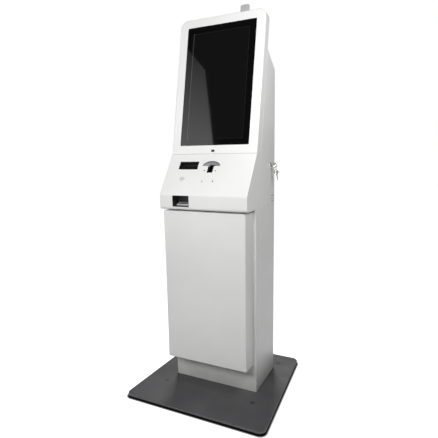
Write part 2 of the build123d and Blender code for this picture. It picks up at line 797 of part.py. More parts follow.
# ---------------------------------------------------------------- console
slab_back_foot = (
    slab_foot_y + slab_thickness * cos(lean),
    slab_foot_z - slab_thickness * sin(lean),
)
console_points = [
    (lip_y, seam_z),
    (slab_back_y(seam_z), seam_z),
    slab_back_foot,
    (slab_foot_y, slab_foot_z),
    (lip_y, seam_z + lip_height),
]
outlet_z = (seam_z + outlet_bottom, seam_z + outlet_bottom + outlet_height)
terminal_holes = [
    (terminal_x + dx, terminal_hole_rise + ds)
    for ds in span(0, terminal_hole_spacing)
    for dx in span(0, terminal_hole_spacing)
]


def console_outline(moves, bend_less):
    points = shifted(console_points, moves)
    outline = rounded(polygon(points), points[4], lip_bend - bend_less)
    return rounded(outline, points[0], lip_bottom_bend - bend_less)


def scoop_outline(grow=0.0):
    """Half an ellipse standing on its flat side."""
    across = terminal_scoop_width / 2 + grow
    up = terminal_scoop_height + grow
    whole = Ellipse(across, up)
    half = whole & (Pos(0, up) * Rectangle(2 * across + 2, 2 * up))
    return Pos(terminal_x, terminal_scoop_base) * half


def mark_outline(less=0.0):
    """Generic tap-here mark: a diamond with round corners."""
    across = mark_width / 2 - less
    up = mark_height / 2 - less
    diamond = polygon([(-across, up * 0.2), (0, -up), (across, up * 0.2), (0, up)])
    return Pos(mark_x, mark_rise) * fillet(diamond.vertices(), 5)


def console_cover():
    outer = prism(console_outline((0, 0, seam_gap, 0, 0), 0), span(0, column_width))
    ends = outer.edges().group_by(Axis.X)
    outer = fillet(ends[0] + ends[-1], seam_radius)
    inside = console_outline((sheet, -5, seam_gap + sheet, sheet, sheet), sheet)
    cover = outer - prism(inside, span(0, column_width - 2 * sheet))
    cuts = [
        Pos(slot_x, reader_rise) * RectangleRounded(reader_width, reader_height, 1.5),
        scoop_outline(),
        Pos(terminal_x, (terminal_slot_bottom + terminal_scoop_base + 5) / 2)
        * Rectangle(terminal_slot_width, terminal_scoop_base + 5 - terminal_slot_bottom),
    ]
    cuts += [Pos(x, s) * Circle(terminal_hole_radius) for x, s in terminal_holes]
    for cut in cuts:
        cover -= slope_plane * extrude(Pos(0, 0, 1) * cut, -sheet - 3)
    cover -= block(span(slot_x, outlet_width), (lip_y - 1, lip_y + lip_bottom_bend + sheet), outlet_z)
    return cover - slope_plane * extrude(mark_outline(), -mark_depth)


def contactless_mark():
    return slope_plane * extrude(mark_outline(0.1), -mark_depth)


def contactless_reader():
    """Reader board with its coil, held against the back of the slope."""
    board = block(span(mark_x, 76), span(mark_rise - 2, 54), (-sheet - 9, -sheet - 7.4))
    pad = block(span(mark_x, 64), span(mark_rise - 2, 44), (-sheet - 7.4, -sheet))
    chips = block(span(mark_x + 10, 14), span(mark_rise, 14), (-sheet - 11, -sheet - 9))
    return slope_plane * (board + pad + chips)


def reader_recess():
    """Dark liner behind the upper opening; its floor holds the reader's window."""
    fit = 0.4
    width = reader_width - 2 * fit
    height = reader_height - 2 * fit
    shell = extrude(RectangleRounded(width, height, 1.5), -reader_depth)
    shell -= extrude(RectangleRounded(width - 3, height - 3, 1), -reader_depth + 2)
    shell -= extrude(Rectangle(width - 22, height - 14), -reader_depth - 1)
    rim = extrude(RectangleRounded(width + 10, height + 10, 3) - RectangleRounded(width, height, 1.5), 1.5)
    return slope_plane * Pos(slot_x, reader_rise, 0) * (shell + Pos(0, 0, -sheet - 1.5) * rim)


def reader_window():
    window = block(span(0, reader_width - 14), span(0, reader_height - 8), (-reader_depth - 2, -reader_depth))
    return slope_plane * Pos(slot_x, reader_rise, 0) * window


def reader_body():
    """Camera-type ticket reader behind the window."""
    front = -reader_depth - 2
    case = block(span(0, reader_width - 10), span(0, reader_height + 2), (front - 30, front))
    case = fillet(case.edges().filter_by(Axis.Z), 3)
    case -= block(span(0, reader_width - 30), span(0, reader_height - 16), (front - 20, front + 1))
    lens = rod(6, (0, 0, front - 21), (0, 0, front - 8))
    return slope_plane * Pos(slot_x, reader_rise, 0) * (case + lens)


def terminal_scoop():
    """Dished grey moulding behind the scoop opening, sloping in to the slot."""
    rim = extrude(scoop_outline(5), -1.5)
    floor = Pos(0, 0, -terminal_scoop_depth)
    dish = loft([scoop_outline(3.0), floor * scoop_outline(-5.0)], ruled=True)
    hollow = loft([Pos(0, 0, 0.1) * scoop_outline(0.3), Pos(0, 0, 2) * floor * scoop_outline(-7.0)], ruled=True)
    slot = block(
        span(terminal_x, terminal_slot_width),
        (terminal_slot_bottom, terminal_scoop_base + terminal_scoop_height * 0.6),
        (-terminal_scoop_depth - 2, 3),
    )
    return slope_plane * Pos(0, 0, -sheet) * (rim + dish - hollow - slot)


# ---------------------------------------------------------------- ticket outlet and printer
chute_back_y = lip_y + outlet_depth
paper_z = seam_z + paper_rise
platen_z = paper_z - platen_radius
platen_y = chute_back_y + 24
printer_y = (chute_back_y + 3, chute_back_y + 3 + printer_length)
printer_floor = seam_z + sheet
chassis_half = paper_width / 2 + 6
roll_y = printer_y[1] - roll_radius - 12
roll_z = printer_floor + roll_radius + 6
cutter_y = chute_back_y + 9


def ticket_chute():
    """Dark box behind the lip's opening."""
    fit = 0.4
    x = span(slot_x, outlet_width - 2 * fit)
    z = (outlet_z[0] + fit, outlet_z[1] - fit)
    front = lip_y + 0.5
    chute = block(x, (front, chute_back_y), z)
    chute -= block((x[0] + 1.5, x[1] - 1.5), (front - 1, chute_back_y - 2), (z[0] + 1.5, z[1] - 1.5))
    mouth_z = (outlet_z[0] + 1.5, paper_z + 8)
    return chute - block(span(slot_x, paper_width - 1), (chute_back_y - 3, chute_back_y + 1), mouth_z)


def printer_mouth():
    """Clear wedge-shaped mouthpiece with the slot that the ticket comes out of."""
    floor = outlet_z[0] + 2.0
    front = chute_back_y - 21
    profile = polygon([
        (front, floor),
        (chute_back_y + 3, floor),
        (chute_back_y + 3, paper_z + 6),
        (chute_back_y - 6, paper_z + 5),
        (front, floor + 4),
    ])
    wedge = prism(profile, span(slot_x, paper_width - 2))
    return wedge - block(span(slot_x, paper_width - 8), (front - 1, chute_back_y + 4), span(paper_z + 1, 2.4))


def printer_chassis():
    floor = block(span(slot_x, 2 * chassis_half), printer_y, (printer_floor, printer_floor + printer_side))
    profile = polygon([
        (printer_y[0], printer_floor),
        (printer_y[1], printer_floor),
        (printer_y[1], roll_z + 12),
        (roll_y - 14, roll_z + 12),
        (platen_y + 14, paper_z + 30),
        (printer_y[0], paper_z + 30),
    ])
    frame = floor
    for side in (-1, 1):
        wall = sorted((slot_x + side * chassis_half, slot_x + side * (chassis_half - printer_side)))
        frame += prism(profile, wall)
    bar_y = (platen_y + 12, platen_y + 18)
    frame += block(span(slot_x, 2 * chassis_half), bar_y, (paper_z + 14, paper_z + 26))
    frame -= rod(
        platen_radius / 2 + running_gap,
        (slot_x - chassis_half - 1, platen_y, platen_z),
        (slot_x + chassis_half + 1, platen_y, platen_z),
    )
    return frame - rod(
        spindle_radius,
        (slot_x - chassis_half - 1, roll_y, roll_z),
        (slot_x + chassis_half + 1, roll_y, roll_z),
    )


def print_head():
    """Heated bar above the platen, hung from the chassis's cross bar."""
    low = paper_z + 0.6
    bar = block(span(slot_x, paper_width - 2), span(platen_y, 8), (low, low + 12))
    arm = block(span(slot_x, 50), (platen_y, platen_y + 12), (low + 12, low + 15))
    hanger = block(span(slot_x, 50), (platen_y + 9.5, platen_y + 12), (low + 12, paper_z + 26))
    return bar + arm + hanger


def platen_roller():
    roller = rod(platen_radius, (slot_x - paper_width / 2, platen_y, platen_z), (slot_x + paper_width / 2, platen_y, platen_z))
    shaft_x = (slot_x - chassis_half - 2, slot_x + chassis_half + 12)
    return roller + rod(platen_radius / 2, (shaft_x[0], platen_y, platen_z), (shaft_x[1], platen_y, platen_z))


def stepper_motor():
    """Motor on the chassis's right side, its hollow coupling over the platen's shaft."""
    side = slot_x + chassis_half
    size = 2 * (platen_z - printer_floor) + 12
    middle_z = printer_floor + size / 2
    body = block((side, side + 28), span(platen_y, size), span(middle_z, size))
    body = chamfer(body.edges().filter_by(Axis.X), 3)
    return body - rod(platen_radius / 2 + 0.3, (side - 1, platen_y, platen_z), (side + 14, platen_y, platen_z))


def paper_roll():
    ends = (slot_x - paper_width / 2, slot_x + paper_width / 2)
    roll = rod(roll_radius, (ends[0], roll_y, roll_z), (ends[1], roll_y, roll_z))
    return roll - rod(spindle_radius + running_gap, (ends[0] - 1, roll_y, roll_z), (ends[1] + 1, roll_y, roll_z))


def paper_spindle():
    reach = chassis_half + 4
    pin = rod(spindle_radius, (slot_x - reach, roll_y, roll_z), (slot_x + reach, roll_y, roll_z))
    for side in (-1, 1):
        x = slot_x + side * reach
        pin += rod(spindle_radius + 3, (x, roll_y, roll_z), (x + side * 2, roll_y, roll_z))
    return pin


def cutter_blade():
    """Guillotine blade, raised at rest, with a shallow V edge."""
    low = paper_z + 3.2
    half = paper_width / 2
    outline = polygon([(-half, low), (0, low + 3), (half, low), (half, low + 24), (-half, low + 24)])
    blade = Plane.XZ * outline
    return Pos(slot_x, cutter_y + 0.75, 0) * extrude(blade, 0.75, both=True)


# ---------------------------------------------------------------- display slab
def slab_outline(less=0.0):
    """Straight at the foot, rounded at the top corners."""
    low = less
    high = slab_length - less
    half = half_width - less
    outline = polygon([(-half, low), (half, low), (half, high), (-half, high)])
    return fillet(outline.vertices().group_by(Axis.Y)[-1], slab_corner - less)


def window_outline(grow=0.0):
    length = slab_length - 2 * glass_window_margin + 2 * grow
    width = glass_window_width + 2 * grow
    return Pos(0, slab_length / 2) * RectangleRounded(width, length, glass_window_corner + grow / 2)


glass_out = -sheet - gasket_thickness
panel_out = glass_out - glass_thickness
active_middle = active_bottom + active_height / 2
roof_on_slab = (roof_front_height - console_rise + slab_thickness * sin(lean)) / cos(lean)


def slab_bezel():
    outer = extrude(slab_outline(), -slab_thickness)
    outer = fillet(outer.edges().group_by(Axis.Z)[-1], slab_bend)
    outer = fillet(outer.edges().group_by(Axis.Z)[0], seam_radius)
    cavity = Pos(0, 0, -sheet) * extrude(slab_outline(sheet), -slab_thickness)
    bezel = outer - cavity
    bezel -= extrude(Pos(0, 0, 1) * window_outline(), -sheet - 2)
    sensor = Pos(0, sensor_rise, 1) * RectangleRounded(sensor_width, sensor_height, 1)
    return slab_plane * (bezel - extrude(sensor, -sheet - 2))


def glass_gasket():
    ring = window_outline(glass_overlap) - window_outline(0.5)
    return slab_plane * Pos(0, 0, -sheet) * extrude(ring, -gasket_thickness)


def touch_glass():
    glass = Pos(0, 0, glass_out) * extrude(window_outline(glass_overlap), -glass_thickness)
    camera_hole = rod(camera_radius, (camera_x, camera_rise, glass_out - glass_thickness - 1), (camera_x, camera_rise, 1))
    return slab_plane * (glass - camera_hole)


def camera_module():
    """Pinhole camera set in the glass's top border."""
    board = block(span(camera_x, 34), span(camera_rise - 2, 9), (panel_out - 5, panel_out - 3.5))
    barrel = rod(camera_radius + 1.5, (camera_x, camera_rise, panel_out - 4), (camera_x, camera_rise, panel_out))
    nose = rod(camera_radius - 0.3, (camera_x, camera_rise, panel_out - 1), (camera_x, camera_rise, glass_out - 0.8))
    return slab_plane * (board + barrel + nose)


def sensor_window():
    """Presence sensor's dark window with its flange behind the bezel."""
    window = Pos(0, 0, -0.6) * extrude(RectangleRounded(sensor_width - 0.4, sensor_height - 0.4, 0.8), -sheet - 2)
    flange = Pos(0, 0, -sheet) * extrude(RectangleRounded(sensor_width + 6, sensor_height + 4, 1), -3)
    return slab_plane * Pos(0, sensor_rise, 0) * (window + flange)


def lcd_panel():
    width = active_width + 2 * panel_border
    height = active_height + 2 * panel_border
    case = block(span(0, width), span(active_middle, height), (panel_out - panel_thickness, panel_out))
    back = panel_out - panel_thickness
    case += block(span(0, width * 0.5), span(active_middle - height * 0.25, height * 0.3), (back - 6, back))
    return slab_plane * chamfer(case.edges().filter_by(Axis.Z).group_by(Axis.X)[0], 1)


def panel_rails():
    """Two upright rails that clamp the panel from behind."""
    rails = []
    back = panel_out - panel_thickness
    low = active_middle - active_height / 2 - 20
    high = active_middle + active_height / 2 + 20
    for side in (-1, 1):
        x = sorted((side * (active_width / 2 - 14), side * (half_width - sheet)))
        plate = block(x, (low, high), (back - sheet, back))
        web_x = sorted((side * (half_width - 2 * sheet), side * (half_width - sheet)))
        rails.append(slab_plane * (plate + block(web_x, (low, high), (back - 14, back))))
    return Compound(children=rails)


def slab_back_cover():
    """Closes the slab from behind; its window opens into the head below the roof."""
    cover = Pos(0, 0, sheet - slab_thickness) * extrude(slab_outline(sheet + 0.4), -sheet)
    window = block(span(0, 260), (60, roof_on_slab - 60), (-slab_thickness - 1, 3 - slab_thickness))
    return slab_plane * (cover - window)


def slab_brackets():
    """Angles inside the head that carry the slab."""
    brackets = []
    for rise in (40, roof_on_slab - 110):
        for side in (-1, 1):
            wall = side * (half_width - sheet)
            seat = block(sorted((wall, wall - side * 22)), (rise, rise + 50), (-slab_thickness - 2.5, -slab_thickness))
            tab = block(sorted((wall, wall - side * 2.5)), (rise, rise + 50), (-slab_thickness - 30, -slab_thickness))
            brackets.append(slab_plane * (seat + tab))
    return Compound(children=brackets)


def console_straps():
    """Flat straps inside the seam between the console's cheeks and the head's side walls."""
    straps = []
    for drop in (60, 180):
        for side in (-1, 1):
            wall = side * (half_width - sheet)
            out = (-slab_thickness - 22, -slab_thickness + 22)
            strap = block(sorted((wall, wall - side * 2.5)), (-drop - 20, -drop), out)
            straps.append(slab_plane * strap)
    return Compound(children=straps)


def aerial():
    """Blade aerial on the slab's back, standing above it."""
    top = slab_length + aerial_above_slab
    foot_out = -slab_thickness - aerial_thickness
    blade = block(span(aerial_x, aerial_width), (top - aerial_height, top), (foot_out, -slab_thickness))
    corners = blade.edges().filter_by(Axis.Z).group_by(Axis.Y)[-1]
    blade = fillet(corners, 7)
    blade = fillet(blade.edges().group_by(Axis.Z)[-1], 2)
    pad = block(span(aerial_x, aerial_width), (top - aerial_height, top - aerial_height + 30), (foot_out, -slab_thickness))
    return slab_plane * (blade + pad)


# ---------------------------------------------------------------- write the nodes
nodes = {
    "base_plate": base_plate,
    "base_feet": base_feet,
    "anchor_caps": anchor_caps,
    "frame_screws": frame_screws,
    "pedestal_shell": pedestal_shell,
    "pedestal_door": pedestal_door,
    "door_stiffener": door_stiffener,
    "door_frame_leaves": door_frame_leaves,
    "door_leaves": door_leaves,
    "door_hinge_pins": lambda: hinge_pins((door_axis_x, door_axis_y), door_hinge_z, door_hinge_length),
    "magnetic_catches": magnetic_catches,
    "equipment_shelf": equipment_shelf,
    "mini_pc": mini_pc,
    "power_supply": power_supply,
    "power_inlet": power_inlet,
    "mains_rocker": mains_rocker,
    "cable_gland": cable_gland,
    "head_shell": head_shell,
    "rear_door": rear_door,
    "rear_shell_leaves": lambda: butt_leaves(-1, (0, 2), pin_radius),
    "rear_door_leaves": lambda: butt_leaves(1, (1,), pin_radius + running_gap),
    "rear_hinge_pins": lambda: hinge_pins((rear_axis_x, rear_axis_y), rear_hinge_z, rear_hinge_length),
    "lock_keeper": lock_keeper,
    "lock_barrel": lock_barrel,
    "lock_nut": lock_nut,
    "lock_plug": lock_plug,
    "lock_cam": lock_cam,
    "lock_key": lock_key,
    "key_ring": key_ring,
    "spare_key": spare_key,
    "fan_frame": fan_frame,
    "fan_rotor": fan_rotor,
    "console_cover": console_cover,
    "contactless_mark": contactless_mark,
    "contactless_reader": contactless_reader,
    "reader_recess": reader_recess,
    "reader_window": reader_window,
    "reader_body": reader_body,
    "terminal_scoop": terminal_scoop,
    "ticket_chute": ticket_chute,
    "printer_mouth": printer_mouth,
    "printer_chassis": printer_chassis,
    "print_head": print_head,
    "platen_roller": platen_roller,
    "stepper_motor": stepper_motor,
    "paper_roll": paper_roll,
    "paper_spindle": paper_spindle,
    "cutter_blade": cutter_blade,
    "slab_bezel": slab_bezel,
    "glass_gasket": glass_gasket,
    "touch_glass": touch_glass,
    "camera_module": camera_module,
    "sensor_window": sensor_window,
    "lcd_panel": lcd_panel,
    "panel_rails": panel_rails,
    "slab_back_cover": slab_back_cover,
    "slab_brackets": slab_brackets,
    "console_straps": console_straps,
    "aerial": aerial,
}

for name, make in nodes.items():
    shape = make()
    shape.label = name
    export_step(shape, f"parts/{name}.step")
    print(name, "written")
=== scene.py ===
import bpy
import bmesh
import json
from math import atan2, cos, degrees, radians, sin
from mathutils import Matrix, Vector


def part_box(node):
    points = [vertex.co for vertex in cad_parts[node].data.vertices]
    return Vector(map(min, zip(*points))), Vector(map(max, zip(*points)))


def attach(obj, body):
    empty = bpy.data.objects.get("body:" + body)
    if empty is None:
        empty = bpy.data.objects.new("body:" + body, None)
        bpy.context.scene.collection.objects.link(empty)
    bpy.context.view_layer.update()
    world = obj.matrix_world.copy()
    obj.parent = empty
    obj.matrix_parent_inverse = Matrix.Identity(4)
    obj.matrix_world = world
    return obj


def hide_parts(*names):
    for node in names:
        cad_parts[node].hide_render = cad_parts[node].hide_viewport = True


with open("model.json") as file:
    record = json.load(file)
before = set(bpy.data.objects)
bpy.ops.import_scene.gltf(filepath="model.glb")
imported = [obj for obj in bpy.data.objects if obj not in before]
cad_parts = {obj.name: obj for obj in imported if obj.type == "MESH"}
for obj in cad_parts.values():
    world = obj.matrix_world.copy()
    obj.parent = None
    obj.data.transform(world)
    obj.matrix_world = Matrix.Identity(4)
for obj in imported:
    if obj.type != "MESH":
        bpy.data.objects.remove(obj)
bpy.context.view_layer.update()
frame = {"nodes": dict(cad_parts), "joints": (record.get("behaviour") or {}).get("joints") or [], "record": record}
mm = 0.001

# places that the sheet metal gives
slabTilt = radians(11)
slabFoot = Vector((0, -0.049, 1.0785))  # foot of the display slab's face
slabUp = Vector((0, sin(slabTilt), cos(slabTilt)))
slabOut = Vector((0, -cos(slabTilt), sin(slabTilt)))
lipBend = Vector((0, -0.163, 0.9085))  # where the lip turns into the slope
mounts = {mount["name"]: mount for mount in frame["record"]["mounts"]}
joints = {joint["name"]: joint for joint in frame["joints"]}
slopeOut = Vector(mounts["terminal_screws"]["axis"])
slopeUp = Vector((0, slopeOut.z, -slopeOut.y))
lockPlace = Vector(joints["lock_turn"]["pos_m"])
ringPlace = Vector(joints["key_ring_swing"]["pos_m"])
sparePlace = Vector(joints["spare_key_swing"]["pos_m"])


def planeMatrix(origin, right, up, out):  # turns a piece drawn flat on the ground into its place
    turn = Matrix((right, up, out)).transposed().to_4x4()
    return Matrix.Translation(origin) @ turn


slabPlane = planeMatrix(slabFoot, Vector((1, 0, 0)), slabUp, slabOut)
slopePlane = planeMatrix(lipBend, Vector((1, 0, 0)), slopeUp, slopeOut)
print("frame loaded with", len(frame["nodes"]), "nodes")

# camera
cameraLook = {
    "place": (0.8068, -1.6587, 1.0778), "yaw": 0.4517, "down": 0.1571, "roll": -0.0162,
    "lensMm": 33.7, "sensorMm": 36,
}


def addCamera(look):
    yaw, down, roll = look["yaw"], look["down"], look["roll"]
    forward = Vector((-sin(yaw) * cos(down), cos(yaw) * cos(down), -sin(down)))
    right = Vector((cos(yaw), sin(yaw), 0))
    up = right.cross(forward)
    rolledRight = cos(roll) * right + sin(roll) * up
    rolledUp = cos(roll) * up - sin(roll) * right
    data = bpy.data.cameras.new("camera")
    data.lens = look["lensMm"]
    data.sensor_width = look["sensorMm"]
    camera = bpy.data.objects.new("camera", data)
    bpy.context.scene.collection.objects.link(camera)
    camera.matrix_world = planeMatrix(Vector(look["place"]), rolledRight, rolledUp, -forward)
    bpy.context.scene.camera = camera


addCamera(cameraLook)
print("camera placed")


# finishes
def linear(hexColour):  # sRGB hex to the linear colour that a shader takes
    channels = [int(hexColour[i:i + 2], 16) / 255 for i in (1, 3, 5)]
    return [c / 12.92 if c <= 0.04045 else ((c + 0.055) / 1.055) ** 2.4 for c in channels] + [1]


def addNode(tree, kind, values=None, links=None, **settings):
    node = tree.nodes.new("ShaderNode" + kind)
    for name, value in settings.items():
        setattr(node, name, value)
    for socket, value in (values or {}).items():
        node.inputs[socket].default_value = value
    for socket, source in (links or {}).items():
        tree.links.new(source, node.inputs[socket])
    return node


finishes = {}

# what the patterns of all the finishes share
patternLook = {
    "grainRoughness": 0.55, "driftEnds": (0.35, 0.65), "wearEnds": (0.3, 0.7), "wearMm": 35, "strength": 0.5,
    # patch size and floor height of the painted shade that darkens the white coat towards the floor
    "shadePatchMm": 60, "shadeFloorHeight": 0.018,
}


def makeFinish(name, look):  # a shader whose tone, grain and wear are drawn at real sizes, in millimetres
    finish = bpy.data.materials.new(name)
    finish.use_nodes = True
    tree = finish.node_tree
    shader = tree.nodes["Principled BSDF"]
    for socket, value in look.get("shader", {}).items():
        shader.inputs[socket].default_value = value
    place = addNode(tree, "TexCoord").outputs["Object"]
    stretch = look.get("stretch", (1, 1, 1))  # below 1 draws the grain out along that axis
    grainPlace = addNode(tree, "Mapping", {"Scale": stretch}, {"Vector": place}).outputs["Vector"]
    grainScale = 1 / (look["grainMm"] * mm)
    if look.get("cells"):
        values = {"Scale": grainScale, "Randomness": look["cells"]}
        grain = addNode(tree, "TexVoronoi", values, {"Vector": grainPlace}).outputs["Distance"]
    else:
        values = {"Scale": grainScale, "Detail": 3, "Roughness": patternLook["grainRoughness"]}
        grain = addNode(tree, "TexNoise", values, {"Vector": grainPlace}).outputs["Fac"]
    values = {"Scale": 1 / (look["driftMm"] * mm), "Detail": 2}
    drift = addNode(tree, "TexNoise", values, {"Vector": place}).outputs["Fac"]
    low, high = patternLook["driftEnds"]
    share = addNode(tree, "MapRange", {1: low, 2: high}, {0: drift}).outputs[0]
    values = {6: linear(look["tones"][0]), 7: linear(look["tones"][1])}
    tone = addNode(tree, "Mix", values, {0: share}, data_type="RGBA").outputs[2]
    if "speck" in look:
        colour, low, high = look["speck"]
        share = addNode(tree, "MapRange", {1: low, 2: high}, {0: grain}).outputs[0]
        tone = addNode(tree, "Mix", {7: linear(colour)}, {0: share, 6: tone}, data_type="RGBA").outputs[2]
    if "shadeNearFloor" in look:  # painted shade: darker towards the floor, in patches
        colour, top, most = look["shadeNearFloor"]
        height = addNode(tree, "SeparateXYZ", None, {0: place}).outputs["Z"]
        values = {"Scale": 1 / (patternLook["shadePatchMm"] * mm), "Detail": 5}
        cloud = addNode(tree, "TexNoise", values, {"Vector": place}).outputs["Fac"]
        values = {1: top, 2: patternLook["shadeFloorHeight"], 4: most}
        reach = addNode(tree, "MapRange", values, {0: height}).outputs[0]
        share = addNode(tree, "Math", None, {0: reach, 1: cloud}, operation="MULTIPLY").outputs[0]
        tone = addNode(tree, "Mix", {7: linear(colour)}, {0: share, 6: tone}, data_type="RGBA").outputs[2]
    tree.links.new(tone, shader.inputs["Base Color"])
    wearMm = look.get("wearMm", patternLook["wearMm"])
    values = {"Scale": 1 / (wearMm * mm), "Detail": 4, "Roughness": 0.6}
    wear = addNode(tree, "TexNoise", values, {"Vector": place}).outputs["Fac"]
    values = dict(zip((1, 2, 3, 4), (*patternLook["wearEnds"], *look["roughness"])))
    sheen = addNode(tree, "MapRange", values, {0: wear}).outputs[0]
    tree.links.new(sheen, shader.inputs["Roughness"])
    strength = look.get("strength", patternLook["strength"])
    values = {"Strength": strength, "Distance": look["reliefMm"] * mm}
    bump = addNode(tree, "Bump", values, {"Height": grain})
    tree.links.new(bump.outputs["Normal"], shader.inputs["Normal"])
    finishes[name] = finish
    return tree, shader, place, tone


metal = {"Metallic": 1.0}

finishLooks = {
    # polyester powder coat, sprayed and baked: off-white, satin, with a faint orange peel
    # its real grain is under 1 mm, drawn at 2.2 mm so that it shows
    "powderCoatWhite": {
        "tones": ("#f6f6f5", "#f0f0ef"), "driftMm": 300, "grainMm": 2.2, "reliefMm": 0.05, "strength": 0.35,
        # below: painted shade, darker towards the floor in patches
        "roughness": (0.36, 0.46), "wearMm": 120, "shadeNearFloor": ("#b9b4ad", 0.16, 0.5), "shader": {"IOR": 1.5},
    },
    # structured powder coat on the floor plate: dark grey, gritty, with lighter scuffs
    "powderCoatAnthracite": {
        "tones": ("#565658", "#5f5f61"), "driftMm": 140, "grainMm": 1.4, "reliefMm": 0.16, "strength": 0.7,
        "roughness": (0.46, 0.66), "wearMm": 70, "speck": ("#747476", 0.62, 0.8), "shader": {"IOR": 1.5},
    },
    # vulcanised rubber: black and matt, with the bloom of a press mould
    "mouldedRubberBlack": {
        "tones": ("#141414", "#1d1c1b"), "driftMm": 30, "grainMm": 1.0, "reliefMm": 0.08,
        "roughness": (0.68, 0.85), "shader": {"IOR": 1.5, "Specular IOR Level": 0.35},
    },
    # glass-filled nylon: dark grey with a dry sparkle
    "nylonCharcoal": {
        "tones": ("#4c4c4e", "#444446"), "driftMm": 18, "grainMm": 0.7, "reliefMm": 0.06,
        "roughness": (0.5, 0.62), "speck": ("#505052", 0.66, 0.78), "shader": {"IOR": 1.53},
    },
    # bright zinc plate on sheet steel: bluish, with the rolling grain still in it
    "zincPlatedSteel": {
        "tones": ("#b4b8bc", "#9fa3a8"), "driftMm": 22, "grainMm": 0.9, "stretch": (1, 1, 0.12), "reliefMm": 0.02,
        "roughness": (0.28, 0.45), "wearMm": 12, "shader": metal,
    },
    # nickel plate, polished: warm silver with hair-fine scratches
    "nickelPlatePolished": {
        "tones": ("#cfcbc4", "#bdb9b2"), "driftMm": 9, "grainMm": 0.5, "stretch": (0.15, 1, 1), "reliefMm": 0.012,
        "roughness": (0.12, 0.26), "wearMm": 6, "shader": metal,
    },
    # aluminium strip, brushed along its length
    "brushedAluminium": {
        "tones": ("#a9abad", "#949699"), "driftMm": 60, "grainMm": 0.8, "stretch": (1, 1, 0.05), "reliefMm": 0.02,
        "roughness": (0.3, 0.42), "shader": {"Metallic": 1.0, "Anisotropic": 0.5},
    },
    # dark nickel on sintered magnet
    "magnetNickel": {
        "tones": ("#6f6f70", "#5c5c5e"), "driftMm": 10, "grainMm": 0.6, "reliefMm": 0.03,
        "roughness": (0.3, 0.42), "shader": metal,
    },
    # ABS moulded in a spark-eroded tool: even black with a leather-dry grain
    "absMouldedBlack": {
        "tones": ("#1a1a1b", "#222223"), "driftMm": 40, "grainMm": 0.9, "reliefMm": 0.07,
        "roughness": (0.42, 0.55), "shader": {"IOR": 1.54},
    },
    # the same ABS in mid grey, satin
    "absMouldedGrey": {
        "tones": ("#8d8d8f", "#838386"), "driftMm": 30, "grainMm": 0.9, "reliefMm": 0.06,
        "roughness": (0.38, 0.5), "shader": {"IOR": 1.54},
    },
    # ASA housing of the aerial: light grey and weatherproof, slightly chalky
    "asaLightGrey": {
        "tones": ("#b9bbbd", "#adafb2"), "driftMm": 40, "grainMm": 1.1, "reliefMm": 0.06,
        "roughness": (0.4, 0.55), "shader": {"IOR": 1.52},
    },
    # clear polycarbonate with a frosted tool finish: milky, with bright edges
    "polycarbonateFrosted": {
        "tones": ("#f6f8f8", "#ecefef"), "driftMm": 20, "grainMm": 0.6, "reliefMm": 0.03, "strength": 0.3,
        "roughness": (0.1, 0.22), "shader": {"IOR": 1.58, "Transmission Weight": 0.15},
    },
    # infrared-pass acrylic: nearly black, with a red depth at an angle
    "acrylicInfraredBlack": {
        "tones": ("#120a0c", "#1a0d10"), "driftMm": 25, "grainMm": 1.5, "reliefMm": 0.004,
        "roughness": (0.04, 0.09), "shader": {"IOR": 1.49, "Coat Weight": 0.4},
    },
    # screen-printed pad ink: pale grey, with the mesh of the screen left in it
    "screenInkGrey": {
        "tones": ("#d6d6d8", "#cfcfd2"), "driftMm": 12, "grainMm": 0.8, "cells": 0.1, "reliefMm": 0.02,
        "roughness": (0.45, 0.55), "shader": {"IOR": 1.5},
    },
    # EPDM foam: black open cells
    "epdmFoamBlack": {
        "tones": ("#161616", "#1f1f1f"), "driftMm": 15, "grainMm": 0.9, "cells": 1.0, "reliefMm": 0.3,
        "roughness": (0.8, 0.95), "shader": {"IOR": 1.45, "Specular IOR Level": 0.3},
    },
    # solder mask over copper tracks, printed as cells with pale edges
    "solderMaskGreen": {
        "tones": ("#14502c", "#0e3f22"), "driftMm": 10, "grainMm": 2.5, "cells": 0.8, "reliefMm": 0.05,
        "roughness": (0.25, 0.4), "speck": ("#2f7a4a", 0.5, 0.7), "shader": {"IOR": 1.5},
    },
    # thermal paper wound tight: white with the edges of its turns
    "thermalPaperRoll": {
        "tones": ("#f3f2ee", "#e9e8e3"), "driftMm": 25, "grainMm": 0.8, "stretch": (0.05, 1, 1), "reliefMm": 0.04,
        "roughness": (0.55, 0.7), "shader": {"IOR": 1.45},
    },
    # ground nitrile on the platen: black, smooth, slightly glossy
    "groundNitrileBlack": {
        "tones": ("#1b1b1c", "#242425"), "driftMm": 12, "grainMm": 0.5, "stretch": (3, 1, 1), "reliefMm": 0.02,
        "roughness": (0.4, 0.55), "shader": {"IOR": 1.52},
    },
    # stove lacquer on the motor's steel case: black, satin
    "stoveLacquerBlack": {
        "tones": ("#202021", "#2a2a2b"), "driftMm": 20, "grainMm": 0.9, "reliefMm": 0.04,
        "roughness": (0.25, 0.4), "shader": {"IOR": 1.5},
    },
    # black anodised aluminium: the computer's case
    "anodisedBlack": {
        "tones": ("#2b2c2f", "#232427"), "driftMm": 50, "grainMm": 0.7, "stretch": (0.08, 1, 1), "reliefMm": 0.02,
        "roughness": (0.35, 0.48), "shader": {"Metallic": 0.85},
    },
    # glossy polycarbonate of the mains rocker
    "polycarbonateRed": {
        "tones": ("#a01414", "#8c1010"), "driftMm": 8, "grainMm": 1.2, "reliefMm": 0.01,
        "roughness": (0.1, 0.2), "shader": {"IOR": 1.58, "Coat Weight": 0.3},
    },
    # toughened glass with a black ceramic border: mirror-flat, near black, faint finger marks
    "toughenedGlassBlack": {
        "tones": ("#060607", "#08080a"), "driftMm": 200, "grainMm": 120, "reliefMm": 0.01, "strength": 0.1,
        "roughness": (0.02, 0.07), "wearMm": 45, "shader": {"IOR": 1.52},
    },
}
parts = {name: makeFinish(name, look) for name, look in finishLooks.items()}

